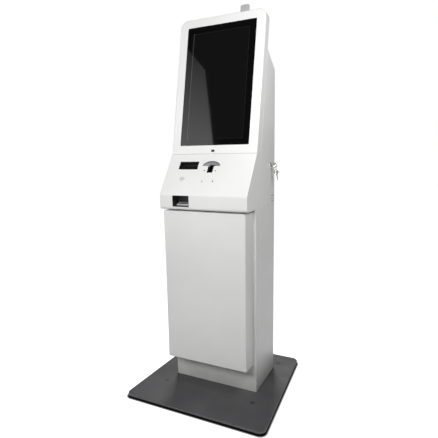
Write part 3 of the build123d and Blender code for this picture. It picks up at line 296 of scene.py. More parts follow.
# the lit area of the screen under the glass, from the slab's foot, in metres
screenLook = {
    "halfWidth": 0.13435, "middle": 0.3047, "halfHeight": 0.2379, "blur": 0.0003, "panelHex": "#0f0f10",
    # the edge and fade keys draw a painted glint: a thin light line round the panel, strongest on its left side
    "edge": 0.0009, "glintHex": "#6a6a6d", "fadeFrom": -0.125, "fadedShare": 0.12,
}


def drawScreen(look, tree, shader, place, tone):  # the panel shows as a slightly lighter oblong, with a painted glint line along its edge
    values = {"Location": slabFoot, "Rotation": (radians(90) - slabTilt, 0, 0)}
    flat = addNode(tree, "Mapping", values, {"Vector": place}, vector_type="TEXTURE").outputs["Vector"]
    axes = addNode(tree, "SeparateXYZ", None, {0: flat})
    across = addNode(tree, "Math", None, {0: axes.outputs["X"]}, operation="ABSOLUTE").outputs[0]
    across = addNode(tree, "Math", {1: look["halfWidth"]}, {0: across}, operation="SUBTRACT").outputs[0]
    along = addNode(tree, "Math", {1: look["middle"]}, {0: axes.outputs["Y"]}, operation="SUBTRACT").outputs[0]
    along = addNode(tree, "Math", None, {0: along}, operation="ABSOLUTE").outputs[0]
    along = addNode(tree, "Math", {1: look["halfHeight"]}, {0: along}, operation="SUBTRACT").outputs[0]
    outside = addNode(tree, "Math", None, {0: across, 1: along}, operation="MAXIMUM").outputs[0]
    panel = addNode(tree, "MapRange", {1: look["blur"], 2: -look["blur"]}, {0: outside}).outputs[0]
    values = {7: linear(look["panelHex"])}
    tone = addNode(tree, "Mix", values, {0: panel, 6: tone}, data_type="RGBA").outputs[2]
    # painted glint: a thin light line round the panel, standing in for its frame catching light
    nearEdge = addNode(tree, "Math", None, {0: outside}, operation="ABSOLUTE").outputs[0]
    rim = addNode(tree, "MapRange", {1: look["edge"], 2: look["edge"] / 3}, {0: nearEdge}).outputs[0]
    values = {1: look["fadeFrom"], 2: -look["halfWidth"], 3: look["fadedShare"]}
    nearLeft = addNode(tree, "MapRange", values, {0: axes.outputs["X"]}).outputs[0]  # the painted glint shows most there
    rim = addNode(tree, "Math", None, {0: rim, 1: nearLeft}, operation="MULTIPLY").outputs[0]
    values = {7: linear(look["glintHex"])}
    tone = addNode(tree, "Mix", values, {0: rim, 6: tone}, data_type="RGBA").outputs[2]
    tree.links.new(tone, shader.inputs["Base Color"])


drawScreen(screenLook, *parts["toughenedGlassBlack"])
print(len(finishes), "finishes made")

# which finish each carried-over node shows
nodeFinishes = {
    "powderCoatWhite": (
        "pedestal_shell", "pedestal_door", "equipment_shelf", "head_shell", "rear_door",
        "console_cover", "slab_bezel", "slab_back_cover",
    ),
    "powderCoatAnthracite": ("base_plate",),
    "zincPlatedSteel": (
        "frame_screws", "door_stiffener", "door_frame_leaves", "door_leaves", "door_hinge_pins", "power_supply",
        "rear_shell_leaves", "rear_door_leaves", "rear_hinge_pins", "lock_keeper", "lock_cam", "printer_chassis",
        "cutter_blade", "panel_rails", "slab_brackets", "console_straps",
    ),
    "nickelPlatePolished": ("lock_barrel", "lock_nut", "lock_plug", "lock_key", "key_ring", "spare_key"),
    "brushedAluminium": ("print_head", "lcd_panel"),
    "magnetNickel": ("magnetic_catches",),
    "absMouldedBlack": (
        "power_inlet", "cable_gland", "fan_frame", "fan_rotor", "reader_recess", "ticket_chute", "camera_module",
    ),
    "absMouldedGrey": ("reader_body", "terminal_scoop", "paper_spindle"),
    "asaLightGrey": ("aerial",),
    "polycarbonateFrosted": ("printer_mouth",),
    "acrylicInfraredBlack": ("reader_window", "sensor_window"),
    "screenInkGrey": ("contactless_mark",),
    "epdmFoamBlack": ("glass_gasket",),
    "solderMaskGreen": ("contactless_reader",),
    "thermalPaperRoll": ("paper_roll",),
    "groundNitrileBlack": ("platen_roller",),
    "stoveLacquerBlack": ("stepper_motor",),
    "anodisedBlack": ("mini_pc",),
    "polycarbonateRed": ("mains_rocker",),
    "mouldedRubberBlack": ("base_feet",),
    "nylonCharcoal": ("anchor_caps",),
    "toughenedGlassBlack": ("touch_glass",),
}
for finishName, nodeNames in nodeFinishes.items():
    for nodeName in nodeNames:
        carried = frame["nodes"][nodeName]
        for materialSlot in carried.material_slots:
            materialSlot.material = finishes[finishName]
print("carried-over nodes finished")


# modelling helpers
pole = 0.001  # a lathe ring this small closes to a point
smoothUpTo = radians(35)
cutterMm = 10  # long enough to pass through a key
nearMm = 1  # what lies this close to a face belongs to it
hairMm = 0.01  # points this close are one


def startPiece(shape, **how):  # one fresh primitive, alone in the selection
    bpy.ops.object.select_all(action="DESELECT")
    getattr(bpy.ops.mesh, "primitive_" + shape + "_add")(**how)
    return bpy.context.active_object


def metres(*sizes):  # from millimetres
    return [size * mm for size in sizes]


def block(middle, size, turn=0):  # a box in metres, turned about its upright
    piece = startPiece("cube", size=1, location=middle)
    piece.scale = size
    piece.rotation_euler = (0, 0, turn)
    bpy.ops.object.transform_apply(location=True, rotation=True, scale=True)
    return piece


def rod(sides, radius, depth, middle=(0, 0, 0)):  # an upright cylinder or prism, its sizes in mm
    return startPiece("cylinder", vertices=sides, radius=radius * mm, depth=depth * mm, location=middle)


def enterMesh(piece, kind="FACE"):
    bpy.ops.object.select_all(action="DESELECT")
    piece.select_set(True)
    bpy.context.view_layer.objects.active = piece
    bpy.ops.object.mode_set(mode="EDIT")
    bpy.ops.mesh.select_mode(type=kind)


def pick(piece, kind, test):  # selects the faces, edges or vertices that pass the test
    mesh = bmesh.from_edit_mesh(piece.data)
    bpy.ops.mesh.select_all(action="DESELECT")
    for element in getattr(mesh, kind):
        element.select_set(test(element))
    mesh.select_flush_mode()
    bmesh.update_edit_mesh(piece.data)


def leaveMesh():
    bpy.ops.object.mode_set(mode="OBJECT")


def applyModifier(piece, kind, **settings):
    bpy.context.view_layer.objects.active = piece
    modifier = piece.modifiers.new(kind.lower(), kind)
    for name, value in settings.items():
        setattr(modifier, name, value)
    bpy.ops.object.modifier_apply(modifier=modifier.name)


def cutOut(piece, cutter):  # takes the cutter's shape away, then throws the cutter away
    applyModifier(piece, "BOOLEAN", operation="DIFFERENCE", object=cutter, solver="EXACT")
    bpy.data.objects.remove(cutter)


def joined(pieces):
    bpy.ops.object.select_all(action="DESELECT")
    for piece in pieces:
        piece.select_set(True)
    bpy.context.view_layer.objects.active = pieces[0]
    if len(pieces) > 1:
        bpy.ops.object.join()
    return pieces[0]


def copied(piece, matrix):
    twin = bpy.data.objects.new(piece.name, piece.data.copy())
    bpy.context.scene.collection.objects.link(twin)
    twin.data.transform(matrix)
    return twin


def softenEdges(piece, width, segments, angle):
    limit = {"limit_method": "ANGLE", "angle_limit": radians(angle)}
    applyModifier(piece, "BEVEL", width=width * mm, segments=segments, **limit)


def turned(profile, vertices):  # a lathe: rings of (radius, height) in mm, drawn one from the last
    radius, height = profile[0]
    piece = startPiece("circle", vertices=vertices, radius=radius * mm, location=(0, 0, height * mm))
    bpy.ops.object.transform_apply(location=True, rotation=True, scale=True)
    enterMesh(piece, "EDGE")
    bpy.ops.mesh.select_all(action="SELECT")
    for nextRadius, nextHeight in profile[1:]:
        bpy.ops.mesh.extrude_region_move(TRANSFORM_OT_translate={"value": (0, 0, (nextHeight - height) * mm)})
        grow = nextRadius / radius
        bpy.ops.transform.resize(value=(grow, grow, 1), center_override=(0, 0, nextHeight * mm))
        radius, height = nextRadius, nextHeight
    bpy.ops.mesh.select_all(action="SELECT")
    bpy.ops.mesh.remove_doubles(threshold=hairMm * mm)
    bpy.ops.mesh.normals_make_consistent(inside=False)
    leaveMesh()
    return piece


def finishPiece(piece, name, matrix, finish, body, slotName, *nodes):  # sets it in the machine, on its body
    piece.name = name
    piece.data.name = name
    bpy.ops.object.select_all(action="DESELECT")
    piece.select_set(True)
    bpy.context.view_layer.objects.active = piece
    bpy.ops.object.transform_apply(location=True, rotation=True, scale=True)
    piece.data.transform(matrix)
    enterMesh(piece)
    bpy.ops.mesh.select_all(action="SELECT")
    bpy.ops.mesh.normals_make_consistent(inside=False)
    leaveMesh()
    bpy.ops.object.shade_smooth_by_angle(angle=smoothUpTo)
    piece.data.materials.clear()
    piece.data.materials.append(finishes[finish])
    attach(piece, body)
    if nodes:
        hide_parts(*nodes)
    print("piece", name, len(piece.data.polygons), "faces")


# terminal dish: moulded niche above the payment terminal's cable slot
dishLook = {
    "acrossMm": 9, "baseMm": 144, "widthMm": 84, "heightMm": 25, "depthMm": 11.5, "flangeMm": 4.5,
    "wallMm": 1.2, "slotMm": (27, 30, 40), "slotTopMm": 12, "slotSunkMm": 8, "sheetMm": 2.02,
    "vertices": 96, "steps": 10, "turn": 80,
}


def sinkStep(shrink, centre, drop=0.0):  # carries the selected face on: one more ring, resized and sunk
    bpy.ops.mesh.inset(thickness=hairMm * mm, depth=0)
    bpy.ops.transform.resize(value=(*shrink, 1), center_override=(*centre, 0))
    bpy.ops.transform.translate(value=(0, 0, -drop * mm))


def buildTerminalDish(look):
    halfWidth = look["widthMm"] / 2 + look["flangeMm"]
    height = look["heightMm"] + look["flangeMm"]
    dish = startPiece("circle", vertices=look["vertices"], radius=1, fill_type="NGON")
    enterMesh(dish)
    bpy.ops.mesh.select_all(action="SELECT")
    bpy.ops.mesh.bisect(plane_co=(0, 0, 0), plane_no=(0, 1, 0), clear_inner=True)
    bpy.ops.mesh.select_all(action="SELECT")
    bpy.ops.transform.resize(value=(halfWidth * mm, height * mm, 1), center_override=(0, 0, 0))
    lip = look["widthMm"] / 2 / halfWidth, look["heightMm"] / height
    sinkStep(lip, (0, 0))
    lastSpan, lastDeep = 1, 0
    fullTurn = radians(look["turn"])
    for step in range(1, look["steps"] + 1):
        turn = fullTurn * step / look["steps"]
        deep = look["depthMm"] * sin(turn) / sin(fullTurn)
        sinkStep((cos(turn) / lastSpan,) * 2, (0, 0), deep - lastDeep)
        lastSpan, lastDeep = cos(turn), deep
    leaveMesh()
    applyModifier(dish, "SOLIDIFY", thickness=look["wallMm"] * mm, offset=-1)
    middle = metres(0, look["slotTopMm"] - look["slotMm"][1] / 2, -look["slotSunkMm"])
    cutOut(dish, block(middle, metres(*look["slotMm"])))
    place = metres(look["acrossMm"], look["baseMm"], -look["sheetMm"])
    matrix = slopePlane @ Matrix.Translation(place)
    finishPiece(dish, "terminalDish", matrix, "absMouldedGrey", "frame", "grey_plastic", "terminal_scoop")


buildTerminalDish(dishLook)

# ticket mouthpiece: frosted wedge that the ticket slides out of
mouthLook = {
    "noseMm": 4.5, "roundMm": 1.2, "edgeMm": 0.25, "slotMm": 2.4, "slotInsetMm": 3.5, "slotRiseMm": 7.2,
    "slotPastMm": 6, "thumbMm": 11, "thumbTallMm": 30, "thumbAheadMm": 5,
}


def buildTicketMouth(look):
    low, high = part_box("printer_mouth")
    size = high - low
    mouth = block((low + high) / 2, size)
    enterMesh(mouth, "VERT")
    pick(mouth, "verts", lambda v: v.co.y < low.y + nearMm * mm and v.co.z > high.z - nearMm * mm)
    bpy.ops.transform.translate(value=(0, 0, look["noseMm"] * mm - size.z))
    leaveMesh()
    softenEdges(mouth, look["roundMm"], segments=4, angle=20)
    tall = look["slotMm"] * mm
    rise = low.z + look["slotRiseMm"] * mm + tall / 2
    middle = Vector(((low.x + high.x) / 2, (low.y + high.y) / 2, rise))
    slotSize = (size.x - 2 * look["slotInsetMm"] * mm, size.y + look["slotPastMm"] * mm, tall)
    cutOut(mouth, block(middle, slotSize))
    place = (middle.x, low.y - look["thumbAheadMm"] * mm, middle.z)
    cutOut(mouth, rod(48, look["thumbMm"], look["thumbTallMm"], place))
    softenEdges(mouth, look["edgeMm"], segments=2, angle=50)
    finishPiece(mouth, "ticketMouth", Matrix(), "polycarbonateFrosted", "frame", "clear_plastic", "printer_mouth")


buildTicketMouth(mouthLook)

# aerial: tapered blade behind the top of the slab
aerialLook = {
    "middleMm": 86, "widthMm": 45, "thickMm": 11, "lowMm": 555, "highMm": 665, "backMm": 45,
    "tipThickMm": 6, "tipWidthMm": 41, "cornerMm": 9, "edgeMm": 2,
}


def buildAerial(look):
    tall = look["highMm"] - look["lowMm"]
    middle = metres(look["middleMm"], look["lowMm"] + tall / 2, -(look["backMm"] + look["thickMm"] / 2))
    blade = block(middle, metres(look["widthMm"], tall, look["thickMm"]))

    def topCorner(edge):  # an edge that runs from front to back at the blade's top
        start, end = (vertex.co for vertex in edge.verts)
        return min(start.y, end.y) > (look["highMm"] - nearMm) * mm and abs(start.z - end.z) > 3 * mm

    enterMesh(blade)
    pick(blade, "faces", lambda f: f.normal.y > 0.9)
    thin = look["tipThickMm"] / look["thickMm"]
    narrow = look["tipWidthMm"] / look["widthMm"]
    foot = metres(look["middleMm"], look["highMm"], -look["backMm"])
    bpy.ops.transform.resize(value=(narrow, 1, thin), center_override=foot)
    pick(blade, "edges", topCorner)
    bpy.ops.mesh.bevel(offset=look["cornerMm"] * mm, segments=8, profile=0.5)
    leaveMesh()
    softenEdges(blade, look["edgeMm"], segments=4, angle=40)
    finishPiece(blade, "aerialBlade", slabPlane, "asaLightGrey", "frame", "aerial_plastic", "aerial")


buildAerial(aerialLook)

# keys: stamped brass, nickel plated, with a raised rim round the bow
keyLook = {
    "turnedMm": 43, "spareMm": 38, "spareTilt": 12, "spareGapMm": 1.8,
    "bowMm": 11, "thickMm": 2.2, "rimMm": 1.8, "rimSlopeMm": 0.3, "sunkMm": 0.45, "holeMm": 3, "holeOffMm": 6,
    "bladeFromMm": 9, "bladeHalfMm": 3, "bladeThinnerMm": 0.1, "tipShare": 0.35, "tipLow": 0.3,
    "teeth": 5, "firstToothMm": 5, "toothRoomMm": 8, "toothMm": 2.6, "toothOutMm": 0.9, "toothVaryMm": 0.4,
    "grooveMm": 1.0, "grooveDeepMm": 0.7, "grooveDropMm": 0.6, "bowEdgeMm": 0.15, "bladeEdgeMm": 0.12,
}


def buildKey(look, lengthMm):  # bow at the origin, blade along +X, ring hole at -X
    start, half, thick = look["bladeFromMm"], look["bladeHalfMm"], look["thickMm"]
    bow = rod(64, look["bowMm"], thick)
    enterMesh(bow)
    pick(bow, "faces", lambda f: abs(f.normal.z) > 0.9)
    bpy.ops.mesh.inset(thickness=look["rimMm"] * mm, depth=0)
    bpy.ops.mesh.inset(thickness=look["rimSlopeMm"] * mm, depth=-look["sunkMm"] * mm)
    leaveMesh()
    bladeSize = metres(lengthMm - start, 2 * half, thick - look["bladeThinnerMm"])
    blade = block(metres((lengthMm + start) / 2, 0, 0), bladeSize)
    enterMesh(blade)
    pick(blade, "faces", lambda f: f.normal.x > 0.9)
    tipMiddle = metres(0, -half * look["tipLow"], 0)
    bpy.ops.transform.resize(value=(1, look["tipShare"], 1), center_override=tipMiddle)
    leaveMesh()
    pitch = (lengthMm - look["bowMm"] - look["toothRoomMm"]) / look["teeth"]
    notchSize = metres(look["toothMm"], look["toothMm"], cutterMm)
    for tooth in range(look["teeth"]):
        along = lengthMm - look["firstToothMm"] - tooth * pitch
        out = half + look["toothOutMm"] - look["toothVaryMm"] * (tooth % 2)
        cutOut(blade, block(metres(along, out, 0), notchSize, radians(45)))
    grooveSize = metres(lengthMm, look["grooveMm"], look["grooveDeepMm"])
    for side in (-1, 1):
        place = metres(lengthMm / 2 + start, -look["grooveDropMm"], side * thick / 2)
        cutOut(blade, block(place, grooveSize))
    cutOut(bow, rod(40, look["holeMm"], cutterMm, metres(-look["holeOffMm"], 0, 0)))
    softenEdges(bow, look["bowEdgeMm"], segments=2, angle=40)
    softenEdges(blade, look["bladeEdgeMm"], segments=1, angle=40)
    return joined([bow, blade])


def keyMatrix(bowPlace, along):
    across = Vector((0, -1, 0))
    return planeMatrix(bowPlace, along, across.cross(along), across)


turnedKey = buildKey(keyLook, keyLook["turnedMm"])
bowPlace = Vector((ringPlace.x - keyLook["holeOffMm"] * mm, lockPlace.y, lockPlace.z))
finishPiece(
    turnedKey, "turnedKey", keyMatrix(bowPlace, Vector((-1, 0, 0))), "nickelPlatePolished", "lock_plug", "nickel",
    "lock_key",
)
spareKey = buildKey(keyLook, keyLook["spareMm"])
spareTilt = radians(keyLook["spareTilt"])
hang = Vector((sin(spareTilt), 0, -cos(spareTilt)))
bowPlace = sparePlace + hang * (keyLook["spareGapMm"] + keyLook["holeOffMm"]) * mm
finishPiece(
    spareKey, "spareKey", keyMatrix(bowPlace, hang), "nickelPlatePolished", "spare_key", "nickel", "spare_key",
)

# split ring: two turns of spring wire
ringLook = {"radiusMm": 10.5, "wireMm": 0.4, "nest": 0.95, "stopMm": (1.6, 0.9, 1.5), "stopEdgeMm": 0.2}


def buildSplitRing(look):
    turns = []
    for side in (-1, 1):
        turn = startPiece(
            "torus", major_segments=72, minor_segments=12, major_radius=look["radiusMm"] * mm,
            minor_radius=look["wireMm"] * mm, location=metres(0, 0, side * look["wireMm"] * look["nest"]),
        )
        bpy.ops.object.transform_apply(location=True, rotation=True, scale=True)
        turns.append(turn)
    stop = block(metres(0, -look["radiusMm"], 0), metres(*look["stopMm"]))  # the wire's end, pressed flat
    softenEdges(stop, look["stopEdgeMm"], segments=2, angle=30)
    ring = joined(turns + [stop])
    middle = Vector((ringPlace.x, ringPlace.y, ringPlace.z - look["radiusMm"] * mm))
    matrix = planeMatrix(middle, Vector((0, 1, 0)), Vector((0, 0, 1)), Vector((1, 0, 0)))
    finishPiece(ring, "splitRing", matrix, "nickelPlatePolished", "key_ring", "nickel", "key_ring")


buildSplitRing(ringLook)

# lock rose and barrel
roseLook = {"profile": (
    (6.05, 3.0), (6.05, -26), (9.5, -26), (9.5, 0), (11.5, 0), (11.5, 1.6), (11.1, 2.3), (10.2, 2.9), (9.4, 3.0),
    (8.8, 2.6), (7.4, 2.5), (6.9, 3.0), (6.05, 3.0),
)}
rose = turned(roseLook["profile"], 72)
roseMatrix = planeMatrix(lockPlace, Vector((0, 1, 0)), Vector((0, 0, 1)), Vector((1, 0, 0)))
finishPiece(rose, "lockRose", roseMatrix, "nickelPlatePolished", "frame", "nickel", "lock_barrel")

# cable gland: hexagon, ribbed clamping nut, domed end
glandLook = {
    "boreMm": 4, "threadMm": 10, "threadSlackMm": 0.5, "hexMm": 13.5, "hexThickMm": 6, "insideMm": 14,
    "insideThickMm": 5, "hexEdgeMm": 0.5, "cutMm": 40, "shellMm": 2, "endMm": 16, "tailMm": -14,
    "gripMm": (6.7, 12), "ribTurn": 20, "ribSlopeMm": 0.12, "ribMm": 0.5,
}


def buildGland(look):
    bore, thread, end, tail = look["boreMm"], look["threadMm"], look["endMm"], look["tailMm"]
    outThick, inThick = look["hexThickMm"], look["insideThickMm"]
    hexagon = rod(6, look["hexMm"], outThick, metres(0, 0, outThick / 2))
    inside = rod(6, look["insideMm"], inThick, metres(0, 0, -(look["shellMm"] + inThick / 2)))
    for nut in (hexagon, inside):
        cutOut(nut, rod(48, thread - look["threadSlackMm"], look["cutMm"]))
        softenEdges(nut, look["hexEdgeMm"], segments=2, angle=50)
    clamp = turned((
        (bore, end), (bore, tail), (9.2, tail), (thread, -13), (thread, 5.9), (10.2, 5.9), (10.9, 6.6),
        (10.9, 12.2), (10.1, 13.8), (8.6, 15.2), (6.6, end), (bore, end),
    ), 72)

    def onRib(face):  # every other pair of facets round the clamping nut's grip
        middle = face.calc_center_median()
        low, high = metres(*look["gripMm"])
        turn = degrees(atan2(middle.y, middle.x)) % look["ribTurn"]
        return low < middle.z < high and middle.xy.length > thread * mm and turn < look["ribTurn"] / 2

    enterMesh(clamp)
    pick(clamp, "faces", onRib)
    bpy.ops.mesh.inset(thickness=look["ribSlopeMm"] * mm, depth=-look["ribMm"] * mm, use_individual=False)
    leaveMesh()
    gland = joined([clamp, hexagon, inside])
    low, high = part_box("cable_gland")
    middle = Vector(((low.x + high.x) / 2, high.y - end * mm, (low.z + high.z) / 2))
    matrix = planeMatrix(middle, Vector((-1, 0, 0)), Vector((0, 0, 1)), Vector((0, 1, 0)))
    finishPiece(gland, "cordGrip", matrix, "absMouldedBlack", "frame", "black_plastic", "cable_gland")


buildGland(glandLook)

# floor anchor caps: flush plugs with a rim and a prising notch
capLook = {
    "profile": ((pole, -3), (10.5, -3), (10.5, -0.5), (10.1, -0.05), (8.9, 0), (8.5, -0.45), (pole, -0.35)),
    "notchMm": (4, 2.2, 2), "notchOutMm": 9.6,
}


def buildAnchorCaps(look):
    cap = turned(look["profile"], 64)
    cutOut(cap, block(metres(0, -look["notchOutMm"], 0), metres(*look["notchMm"])))
    low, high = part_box("anchor_caps")
    inset = max(radius for radius, height in look["profile"]) * mm
    corners = [(x, y) for x in (low.x + inset, high.x - inset) for y in (low.y + inset, high.y - inset)]
    caps = [copied(cap, Matrix.Translation((x, y, high.z))) for x, y in corners]
    bpy.data.objects.remove(cap)
    finishPiece(joined(caps), "anchorCapSet", Matrix(), "nylonCharcoal", "frame", "cap_plastic", "anchor_caps")


buildAnchorCaps(capLook)

# feet: grooved rubber under the plate
footLook = {
    "profile": (
        (pole, 0.8), (8, 0.6), (9, 0), (22, 0), (25.2, 0.8), (26, 2), (26, 4), (25.2, 4.4), (25.2, 5.4), (26, 5.8),
        (26, 10), (pole, 10),
    ),
    "placesMm": ((281.4, -265), (251.6, 265)),
}


def buildFeet(look):
    foot = turned(look["profile"], 56)
    low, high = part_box("base_feet")
    places = [(side * x * mm, y * mm) for side in (-1, 1) for x, y in look["placesMm"]]
    feet = [copied(foot, Matrix.Translation((x, y, 0))) for x, y in places]
    bpy.data.objects.remove(foot)
    finishPiece(joined(feet), "groovedFeet", Matrix(), "mouldedRubberBlack", "frame", "foot_rubber", "base_feet")


buildFeet(footLook)

# button-head screws: hinge leaves, display back cover and aerial foot
screwLook = {
    "headMm": 3.3, "dome": ((1, -0.2), (1, 0.4), (0.92, 1), (0.72, 1.5), (0.45, 1.8)),  # share of the head, height
    "socketMm": 1.3, "socketDeepMm": 2, "socketMiddleMm": 1.7,
    "hingeHeightsMm": (925, 955, 1335, 1365), "shellLeafMm": -198, "doorLeafMm": -178, "leafFaceMm": 183,
    "coverMm": ((-180, 480), (180, 480), (-180, 590), (180, 590), (-60, 590)), "coverFaceMm": -45,
    "aerialMm": ((74, 566), (98, 566)), "aerialFaceMm": -55.6,
}


def buildScrew(look):
    dome = [(look["headMm"] * share, height) for share, height in look["dome"]]
    screw = turned([(pole, dome[0][1]), *dome, (pole, dome[-1][1])], 32)
    cutOut(screw, rod(6, look["socketMm"], look["socketDeepMm"], metres(0, 0, look["socketMiddleMm"])))
    return screw


def onRear(x, z, face):  # faces backwards from an upright panel
    return planeMatrix(Vector((x, face, z)) * mm, Vector((-1, 0, 0)), Vector((0, 0, 1)), Vector((0, 1, 0)))


def onSlabBack(x, up, face):
    origin = slabPlane @ (Vector((x, up, face)) * mm)
    return planeMatrix(origin, Vector((-1, 0, 0)), slabUp, -slabOut)


def buildScrews(look):
    screw = buildScrew(look)
    leafFace = look["leafFaceMm"]
    fixed = [onRear(look["shellLeafMm"], z, leafFace) for z in look["hingeHeightsMm"]]
    fixed += [onSlabBack(x, up, look["coverFaceMm"]) for x, up in look["coverMm"]]
    fixed += [onSlabBack(x, up, look["aerialFaceMm"]) for x, up in look["aerialMm"]]
    swinging = [onRear(look["doorLeafMm"], z, leafFace) for z in look["hingeHeightsMm"]]
    for name, body, places in (("rearScrews", "frame", fixed), ("rearDoorScrews", "rear_door", swinging)):
        screws = joined([copied(screw, place) for place in places])
        finishPiece(screws, name, Matrix(), "zincPlatedSteel", body, "zinc_steel")
    bpy.data.objects.remove(screw)


buildScrews(screwLook)

# black blind nuts behind the payment terminal's four screw holes, their black also standing in for the shade
# inside the holes
nutLook = {
    "profile": (
        (pole, -13), (4.4, -13), (5, -12.4), (5, -2.05), (2.9, -2.05), (2.6, -2.4), (2.6, -11.5), (pole, -11.5),
    ),
    "middleMm": (9, 95), "apartMm": 26,
}


def buildRivetNuts(look):
    nut = turned(look["profile"], 32)
    across, up = look["middleMm"]
    apart = look["apartMm"]
    places = [(across + i * apart, up + j * apart) for i in (-1, 1) for j in (-1, 1)]
    nuts = [copied(nut, Matrix.Translation((x * mm, y * mm, 0))) for x, y in places]
    bpy.data.objects.remove(nut)
    finishPiece(joined(nuts), "rivetNuts", slopePlane, "absMouldedBlack", "frame", "black_plastic")


buildRivetNuts(nutLook)

# floor and studio light
def addLight(name, place, aim, size, power, mirrored):
    data = bpy.data.lights.new(name, "AREA")
    data.shape = "RECTANGLE"
    data.size = data.size_y = size
    data.energy = power
    light = bpy.data.objects.new(name, data)
    bpy.context.scene.collection.objects.link(light)
    light.location = place
    light.rotation_euler = (Vector(aim) - Vector(place)).to_track_quat("-Z", "Y").to_euler()
    light.visible_glossy = mirrored


studio = {  # place, aim, size, power, and whether shiny faces mirror it
    "closeRight": ((1.0, -0.5, 1.75), (0.1, -0.1, 1.3), 0.4, 9.2, True),
    "frontFill": ((0.1, -1.8, 1.5), (0.0, -0.1, 1.3), 0.6, 17.9, True),
    "leftKey": ((-1.2, -1.2, 2.1), (0.0, 0.0, 1.2), 0.6, 6.6, False),
    "sideFill": ((1.5, 0.2, 1.5), (0.1, 0.0, 1.3), 0.6, 0.8, True),
    "backFill": ((-0.8, 2.0, 1.8), (0.0, 0.1, 1.0), 0.9, 24, True),
}
for name, settings in studio.items():
    addLight(name, *settings)


floorLook = {
    # plateHalf, narrowing, corner and fade outline the painted shadow under the plate
    "width": 24, "glow": 1.0, "plateHalf": (0.3125, 0.311), "narrowing": (0.0563, 0), "corner": 0.028,
    "fade": (0, 0.014), "paperHex": "#f4f4f4", "bounceHex": "#9c9c9c", "bounceDrop": 0.001, "roughness": 0.9,
}


def addFloor(look, name, height, colour):
    bpy.ops.object.select_all(action="DESELECT")
    bpy.ops.mesh.primitive_plane_add(size=look["width"], location=(0, 0, height))
    floor = bpy.context.active_object
    floor.name = name
    paint = bpy.data.materials.new(name + "Paint")
    paint.use_nodes = True
    shader = paint.node_tree.nodes["Principled BSDF"]
    shader.inputs["Base Color"].default_value = linear(colour)
    shader.inputs["Roughness"].default_value = look["roughness"]
    floor.data.materials.append(paint)
    return floor, paint.node_tree, shader


def addGlowAndPaintedShadow(look, tree, shader):  # the evenly glowing studio floor, with a painted shadow: black and without glow under the plate and just past its edge
    place = addNode(tree, "TexCoord").outputs["Object"]
    axes = addNode(tree, "SeparateXYZ", None, {0: place})
    outside = []
    for axis, half, narrowing in zip("XY", look["plateHalf"], look["narrowing"]):
        reach = addNode(tree, "Math", None, {0: axes.outputs[axis]}, operation="ABSOLUTE").outputs[0]
        links = {0: axes.outputs["Y"], 2: reach}
        reach = addNode(tree, "Math", {1: narrowing}, links, operation="MULTIPLY_ADD").outputs[0]
        inset = half - look["corner"]
        reach = addNode(tree, "Math", {1: inset}, {0: reach}, operation="SUBTRACT").outputs[0]
        outside.append(addNode(tree, "Math", {1: 0}, {0: reach}, operation="MAXIMUM").outputs[0])
    flat = addNode(tree, "CombineXYZ", None, {0: outside[0], 1: outside[1]}).outputs[0]
    away = addNode(tree, "VectorMath", None, {0: flat}, operation="LENGTH").outputs["Value"]
    # painted shadow: black, without glow, inside the plate's outline, fading out just past its edge
    start, end = (look["corner"] + step for step in look["fade"])
    lit = addNode(tree, "MapRange", {1: start, 2: end}, {0: away}, interpolation_type="SMOOTHSTEP").outputs[0]
    values = {6: linear("#000000"), 7: linear(look["paperHex"])}
    paper = addNode(tree, "Mix", values, {0: lit}, data_type="RGBA").outputs[2]
    glow = addNode(tree, "Math", {1: look["glow"]}, {0: lit}, operation="MULTIPLY").outputs[0]
    shader.inputs["Emission Color"].default_value = linear("#ffffff")
    tree.links.new(paper, shader.inputs["Base Color"])
    tree.links.new(glow, shader.inputs["Emission Strength"])


seenFloor, tree, shader = addFloor(floorLook, "studioFloor", 0, floorLook["paperHex"])
addGlowAndPaintedShadow(floorLook, tree, shader)
seenFloor.visible_diffuse = False
seenFloor.visible_shadow = False
# the floor that throws light back is a hair lower, and only the machine sees it
bounceFloor, tree, shader = addFloor(floorLook, "bounceFloor", -floorLook["bounceDrop"], floorLook["bounceHex"])
bounceFloor.visible_camera = False
bounceFloor.visible_glossy = False

sheenLook = {
    "halfMm": (330, 700), "middle": (-0.86, -0.97, 1.62), "facing": (-0.49, -0.74, 0.45),
    "edgesMm": (((-159.4, 476.2), (-67.4, 375.3)), ((-67.4, 375.3), (-2.6, 42.0))),
    "glow": (2.1, 0.35), "heights": (1.5, 2.15), "glassSunkMm": 3,
}


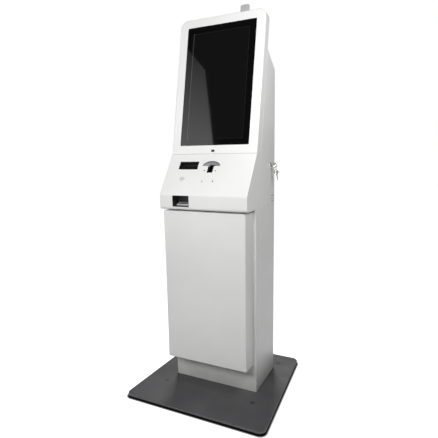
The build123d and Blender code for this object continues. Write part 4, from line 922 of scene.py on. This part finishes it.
def addSheenPanel(look):  # a lit panel that only the screen glass mirrors, trimmed to its outline on the glass
    bpy.ops.object.select_all(action="DESELECT")
    bpy.ops.mesh.primitive_plane_add(size=2, location=look["middle"])
    panel = bpy.context.active_object
    panel.name = "sheenPanel"
    panel.scale = (*metres(*look["halfMm"]), 1)
    panel.rotation_euler = Vector(look["facing"]).to_track_quat("Z", "Y").to_euler()
    bpy.ops.object.transform_apply(location=True, rotation=True, scale=True)
    glass = slabPlane @ Matrix.Translation(metres(0, 0, -look["glassSunkMm"]))
    eye = Vector(cameraLook["place"])
    mirrored = eye - 2 * (eye - glass.translation).dot(slabOut) * slabOut
    enterMesh(panel)
    for start, end in look["edgesMm"]:
        first, second = (glass @ Vector((x * mm, y * mm, 0)) for x, y in (start, end))
        normal = (second - mirrored).cross(first - mirrored).normalized()
        bpy.ops.mesh.select_all(action="SELECT")
        bpy.ops.mesh.bisect(plane_co=mirrored, plane_no=normal, clear_inner=True)
    leaveMesh()
    paint = bpy.data.materials.new("sheenPaint")
    paint.use_nodes = True
    tree = paint.node_tree
    shader = tree.nodes["Principled BSDF"]
    place = addNode(tree, "TexCoord").outputs["Object"]
    height = addNode(tree, "SeparateXYZ", None, {0: place}).outputs["Z"]
    values = dict(zip((1, 2, 3, 4), (*look["heights"], *look["glow"])))
    glow = addNode(tree, "MapRange", values, {0: height}).outputs[0]
    shader.inputs["Base Color"].default_value = linear("#000000")
    shader.inputs["Emission Color"].default_value = linear("#ffffff")
    tree.links.new(glow, shader.inputs["Emission Strength"])
    panel.data.materials.append(paint)
    panel.visible_camera = False
    panel.visible_diffuse = False
    panel.visible_shadow = False
    panel.visible_transmission = False


addSheenPanel(sheenLook)
skyLook = {"fill": 0.04, "seen": 1.0}
world = bpy.data.worlds.new("studioWorld")
bpy.context.scene.world = world
world.use_nodes = True
sky = world.node_tree
seen = addNode(sky, "LightPath").outputs["Is Camera Ray"]
strength = addNode(sky, "MapRange", {3: skyLook["fill"], 4: skyLook["seen"]}, {0: seen}).outputs[0]
sky.links.new(strength, sky.nodes["Background"].inputs["Strength"])
sky.nodes["Background"].inputs["Color"].default_value = linear("#ffffff")
bpy.context.scene.view_settings.view_transform = "Standard"
print("lights and floor set")
